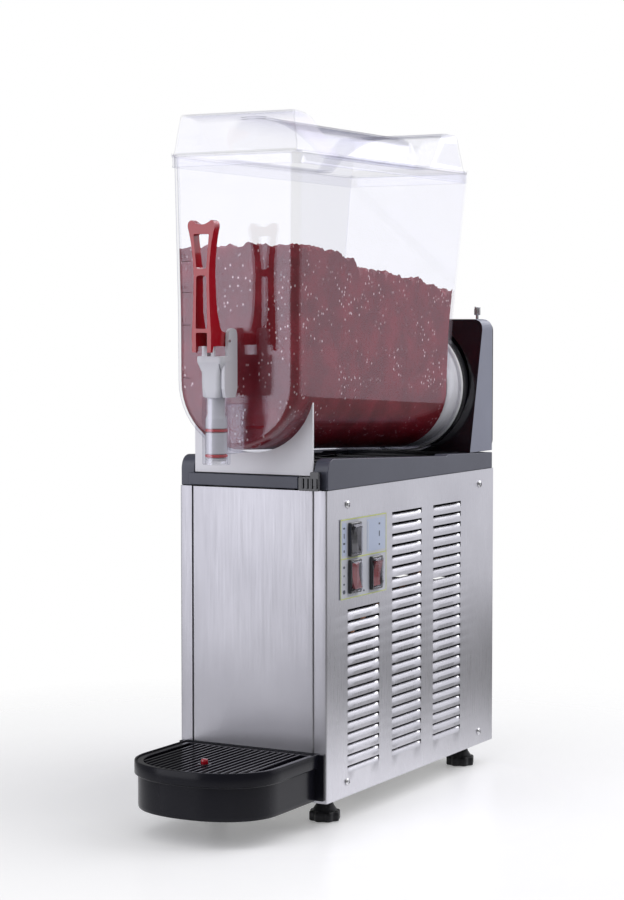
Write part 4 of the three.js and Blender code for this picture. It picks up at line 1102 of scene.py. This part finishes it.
def tap_body():
    """The white body: a box with a flared collar on the tube, a wing at each side and two small posts."""
    def outline(out):
        return rectangle(-12.6 - out, 12.6 + out, -93.4 - out * 0.5, -64 + out * 0.3, 6.5, 5)
    box = layered(outline, [(-3, 503.3), (-2.4, 503.6), (0, 514), (0.2, 531), (5, 543.4), (5.5, 544.4),
                            (5.5, 549.8), (4.8, 550.8)])
    obj = mesh_object("tap_moulding", box)
    upper = [(-62.5, 582.4), (-81.4, 582.4), (-83, 546)]
    right_wing = rounded([(-88, 503.6), (-67, 503.6), (-62.5, 514)] + upper + [(-91, 540), (-91, 514)],
                         [2, 2, 3, 9.2, 9.2, 4, 4, 3], 6)
    left_wing = rounded([(-80, 503.6), (-67, 503.6), (-62.5, 514)] + upper + [(-82, 514)],
                        [2, 2, 3, 9.2, 9.2, 4, 3], 6)
    for side, wing in ((-1, left_wing), (1, right_wing)):
        combine(obj, prism(wing, "x", *sorted((side * 13.6, side * 17.6))), "UNION")
        combine(obj, prism(rectangle(side * 4.6 - 2, side * 4.6 + 2, 545, 562, 1), "y", -96, -92.6), "UNION")
    combine(obj, block((12.4, 13.6), (-100, -84), (500, 542)))
    combine(obj, rod(10.5, 495, 543, "z", TAP, 32))
    combine(obj, rod(5.4, 530, 560, "z", TAP, 24))
    bevel(obj, 0.5, 2, 40)
    finish(obj, WHITE, "bowl", "white_plastic", "tap_body")


def piston():
    profile = [(0, 431), (10.6, 431), (11.5, 432)]
    for _, z in RINGS:
        profile += [(12.4, z - 3.2), (12.4, z - 2.6), (9.4, z - 2.6), (9.4, z + 2.6), (12.4, z + 2.6)]
    profile += [(12.4, 479), (12, 480.6), (10, 483.5), (10, 505), (5, 505), (5, 532), (0, 532)]
    piece("piston_moulding", turned(profile, "z", TAP, 48), WHITE, "tap_piston", "white_plastic",
          "tap_piston")
    for name, z in RINGS:
        section = [(11.2 + u, z + v) for u, v in arc(0, 0, 1.75, 0, 360, 12)]
        section[-1] = section[0]
        piece("piston_seal_" + name, turned(section, "z", TAP, 48), RED_RUBBER, "tap_piston",
              "red_rubber", "piston_ring_" + name)


def handle_outline():
    right = [(12.4, 555.2), (12.8, 575)]
    right += bend((12.8, 575), (10.4, 610), (10.2, 643), 8)
    right += bend((10.2, 643), (11.5, 676), (17.7, 696), 8)
    right += bend((17.7, 696), (18.5, 703), (13, 704), 5)
    top = bend((13, 704), (0, 694), (-13, 704), 10)[:-1]
    left = [(-x, z) for x, z in reversed(right)]
    return [left[-1], *right, *top, *left[:-1]]


def handle():
    obj = mesh_object("handle_moulding", prism(handle_outline(), "y", -116, -58))
    side = rounded([(-112, 555.2), (-108, 555.2), (-106, 562.2), (-74.4, 562.2), (-70.4, 568), (-74, 576),
                    (-90, 580), (-96, 602), (-98.4, 650), (-101, 706), (-112, 706)],
                   [0, 0, 0, 3, 3, 3, 8, 10, 0, 0, 0])
    combine(obj, prism(side, "x", -24, 24), "INTERSECT")
    upper = rounded([(-6.4, 649.5), (6.4, 649.5), (10.2, 688.5), (-10.2, 688.5)], [3, 3, 2, 2])
    lower = rounded([(-7.6, 582), (7.6, 582), (6.6, 642), (-6.6, 642)], [2, 2, 4.5, 4.5], 6)
    for window in (upper, lower):
        combine(obj, prism(window, "y", -130, -50))
    slot = rounded([(-7.4, 550), (7.4, 550), (7.4, 577.6), (-7.4, 577.6)], [0, 0, 2, 2])
    combine(obj, prism(slot, "y", -130, -88))
    bevel(obj, 0.9, 3, 40)
    finish(obj, RED, "tap_handle", "red_plastic", "tap_handle")


def tap_pin():
    profile = [(0, -18.5), (1.6, -18.5), (2, -18), (2, 18), (1.6, 18.5), (0, 18.5)]
    piece("tap_pin_bar", turned(profile, "x", (0, TAP_Y, 568), 20), POLISHED, "bowl", "polished_steel",
          "tap_pin")


# ---------- drip tray ----------

def tray_outline(inset, steps=56):
    """The tray seen from above: straight sides, and a curved front."""
    half, reach = TRAY_HALF - inset, TRAY_REACH - inset - TRAY_STRAIGHT
    points = [(half, -0.8 - inset), (-half, -0.8 - inset)]
    for i in range(steps + 1):
        turn = math.pi * (1 + i / steps)
        c, s = math.cos(turn), math.sin(turn)
        x = half * math.copysign(abs(c) ** TRAY_CURVE, c)
        points.append((x, -TRAY_STRAIGHT - reach * abs(s) ** TRAY_CURVE))
    return points


def tray():
    low, rim = TRAY_BOTTOM, TRAY_TOP
    profile = [(6.5, low), (5, low + 0.5), (4.2, low + 2), (4, low + 5), (4, rim - 18), (3.4, rim - 17),
               (1, rim - 16.3), (0.2, rim - 15.6), (0, rim - 14.6), (0, rim - 1.6), (0.4, rim - 0.5),
               (1, rim - 0.1), (1.6, rim), (2.1, rim - 0.3), (2.5, rim - 1), (2.5, rim - 8), (7, rim - 8),
               (7, low + 5), (8.5, low + 3)]
    hooks = [block((x - 9.8, x + 9.8), (-2, 11.8), (58.2, 64.8)) for x in HOOKS]
    flange_block = prism(rectangle(-99, 99, 33, rim - 0.6, 2), "y", -5, -0.8)
    form = joined(layered(tray_outline, profile), flange_block, *hooks)
    piece("tray_moulding", form, TRAY, "drip_tray", "black_gloss", "drip_tray", angle=30)


def tray_front(x, inset):
    """How far forward the tray's outline reaches at x."""
    half, reach = TRAY_HALF - inset, TRAY_REACH - inset - TRAY_STRAIGHT
    c = min(1.0, abs(x) / half) ** (1 / TRAY_CURVE)
    return -TRAY_STRAIGHT - reach * math.sqrt(max(0.0, 1 - c * c)) ** TRAY_CURVE


def grille():
    top = TRAY_TOP - 1.6
    ring = [(3, top - 6), (3, top - 0.6), (3.6, top), (9.6, top), (10.4, top - 0.6), (10.4, top - 6),
            (3, top - 6)]
    rings = [[(u, v, level) for u, v in tray_outline(inset)] for inset, level in ring]
    forms = [skin(rings, closed=False)]
    section = lambda x: [(x - 1.6, top - 6), (x + 1.6, top - 6), (x + 1.6, top - 0.9), (x + 0.9, top),
                         (x - 0.9, top), (x - 1.6, top - 0.9)]
    for i in range(-9, 9):
        x = (i + 0.5) * GRILLE_PITCH
        front = tray_front(abs(x) + 1.6, 9.8)
        parts = [(front, -11)]
        if abs(x) < 6.4:
            parts = [(front, -114.5), (-101.5, -11)]
        for start, end in parts:
            forms.append(prism(section(x), "y", start, end))
    for y in (-40, -75):
        forms.append(block((-82, 82), (y - 1.2, y + 1.2), (top - 6, top - 3)))
    collar = [(5, top - 6), (8, top - 6), (8, top - 0.6), (7.4, top), (5.6, top), (5, top - 0.6),
              (5, top - 6)]
    forms.append(turned(collar, "z", (0, FLOAT_Y, 0), 32))
    piece("grille_moulding", joined(*forms), TRAY, "drip_grille", "black_gloss", "drip_grille", angle=30)


def float_button():
    profile = [(0, 36), (11, 36), (12, 37), (12, 45), (11, 46), (3, 48), (3, 84), (4.2, 86), (4.2, 90),
               (3.8, 91.2), (2.6, 91.9), (0, 92)]
    piece("float_moulding", turned(profile, "z", (0, FLOAT_Y, 0), 32), RED, "float_indicator", "red_plastic",
          "float_indicator")


# ---------- CAD nodes that stay ----------

KEPT = {
    STAINLESS: ("rear_panel",),
    POLISHED: ("drive_shaft", "tap_spring"),
    ZINC: ("base_pan", "chassis_frame", "control_box", "fan_motor"),
    ALUMINIUM: ("condenser", "fan_blade", "gearbox"),
    COPPER: ("evaporator_coil", "filter_drier", "discharge_pipe", "suction_pipe", "liquid_pipe"),
    ENAMEL: ("compressor", "gear_motor"),
    SATIN: ("power_inlet", "tower_rear_cover", "load_microswitch", "fan_shroud"),
    WHITE_RUBBER: ("shaft_seal",),
    WHITE: ("auger",),
    GLOSS: ("rocker_power",),
    DARK_RED: ("rocker_mixer", "rocker_cooling"),
}


def dress_kept_nodes():
    for material, names in KEPT.items():
        for name in names:
            for slot in nodes[name].material_slots:
                slot.material = material


# ---------- camera, light and floor ----------

CAMERA_PLACE = (1.32472, -2.40042, 0.59349)
CAMERA_AZIMUTH = 28.947
CAMERA_ELEVATION = 3.379
CAMERA_LENS = 89.02
WORLD_SEEN = 1.0
WORLD_LIGHT = 0.24
FLOOR_LEVEL = -0.0004
FLOOR_GLOW = 0.22
FLOOR_FADE = (0.25, 0.95)    # the floor fades into the white surroundings between these distances
# Each light: name, azimuth and elevation seen from the machine, distance, width, height, power, colour.
LIGHTS = (
    ("softbox_front", -30, 12, 1.9, 1.5, 2.0, 17, (0.93, 0.93, 1.0)),
    ("softbox_rear", 150, 14, 2.0, 2.8, 2.0, 11, (0.93, 0.93, 1.0)),
    ("rim_rear", 165, 40, 2.0, 1.4, 1.4, 12, (0.97, 0.97, 1.0)),
    ("fill_front", -5, 50, 2.0, 1.2, 1.2, 7, (1.0, 1.0, 1.0)),
    ("key_right", 120, 38, 2.0, 1.5, 1.5, 20, (1.0, 0.99, 1.0)),
    ("overhead", 20, 84, 1.9, 1.8, 1.8, 11, (1.0, 1.0, 1.0)),
)
LIGHT_TARGET = Vector((0, 0, 0.45))


def direction(azimuth, elevation):
    a, e = math.radians(azimuth), math.radians(elevation)
    return Vector((math.sin(a) * math.cos(e), -math.cos(a) * math.cos(e), math.sin(e)))


def aim(obj, back, location):
    """Puts an object at a place and turns it to look against the direction back."""
    obj.location = location
    obj.rotation_euler = (-back).to_track_quat("-Z", "Y").to_euler()


def camera():
    data = bpy.data.cameras.new("camera")
    data.lens = CAMERA_LENS
    obj = add_object("camera", data)
    aim(obj, direction(CAMERA_AZIMUTH, CAMERA_ELEVATION), CAMERA_PLACE)
    bpy.context.scene.camera = obj


def lights():
    for name, azimuth, elevation, distance, width, height, power, colour in LIGHTS:
        data = bpy.data.lights.new(name, "AREA")
        data.shape = "RECTANGLE"
        data.size, data.size_y = width, height
        data.energy = power
        data.color = colour
        obj = add_object(name, data)
        away = direction(azimuth, elevation)
        aim(obj, away, LIGHT_TARGET + away * distance)
        obj.visible_camera = False


def world():
    """White where it is seen directly, and a dimmer grey studio as light."""
    made = bpy.data.worlds.new("studio")
    made.use_nodes = True
    tree = made.node_tree
    background = tree.nodes["Background"]
    background.inputs["Color"].default_value = (1, 1, 1, 1)
    path = tree.nodes.new("ShaderNodeLightPath")
    strength = tree.nodes.new("ShaderNodeMapRange")
    strength.inputs["To Min"].default_value = WORLD_LIGHT
    strength.inputs["To Max"].default_value = WORLD_SEEN
    tree.links.new(path.outputs["Is Camera Ray"], strength.inputs["Value"])
    tree.links.new(strength.outputs["Result"], background.inputs["Strength"])
    bpy.context.scene.world = made


def floor():
    made = Finish("floor")
    made.set(Roughness=0.28, Specular_IOR_Level=0.35)
    made.set(Emission_Color=(1, 1, 1, 1), Emission_Strength=FLOOR_GLOW)
    made.colour(made.ramp(made.noise(3, 2), (0.3, (0.82, 0.82, 0.84)), (0.7, (0.85, 0.85, 0.865))))
    distance = made.node("VectorMath", operation="LENGTH")
    made.link(made.coordinates, distance.inputs[0])
    fade = made.range(distance.outputs["Value"], 0, 1, *FLOOR_FADE)
    made.surfaces(fade, made.shader, made.node("BsdfTransparent"))
    size = FLOOR_FADE[1] + 0.1
    mesh = bpy.data.meshes.new("floor")
    corners = [(x * size, y * size, FLOOR_LEVEL) for x, y in ((-1, -1), (1, -1), (1, 1), (-1, 1))]
    mesh.from_pydata(corners, [], [(0, 1, 2, 3)])
    mesh.materials.append(made.material)
    add_object("floor", mesh)


def view_settings():
    scene = bpy.context.scene
    scene.view_settings.view_transform = "Standard"
    scene.cycles.transparent_max_bounces = 32
    scene.cycles.max_bounces = 10


# ---------- assembly ----------

camera()
lights()
world()
floor()
view_settings()
front_panel()
side_panel("right_louvre_sheet", 1, "right_side_panel")
side_panel("left_louvre_sheet", -1, "left_side_panel")
inside_shade_sheets()
panel_screws()
feet()
switch_plate()
for switch in SWITCHES:
    rocker_switch(*switch)
top_casing()
bowl_catch()
tower()
tower_riser()
density_screw()
flange()
gasket()
drum()
bowl()
slush()
lid()
tap_body()
piston()
handle()
tap_pin()
tray()
grille()
float_button()
dress_kept_nodes()
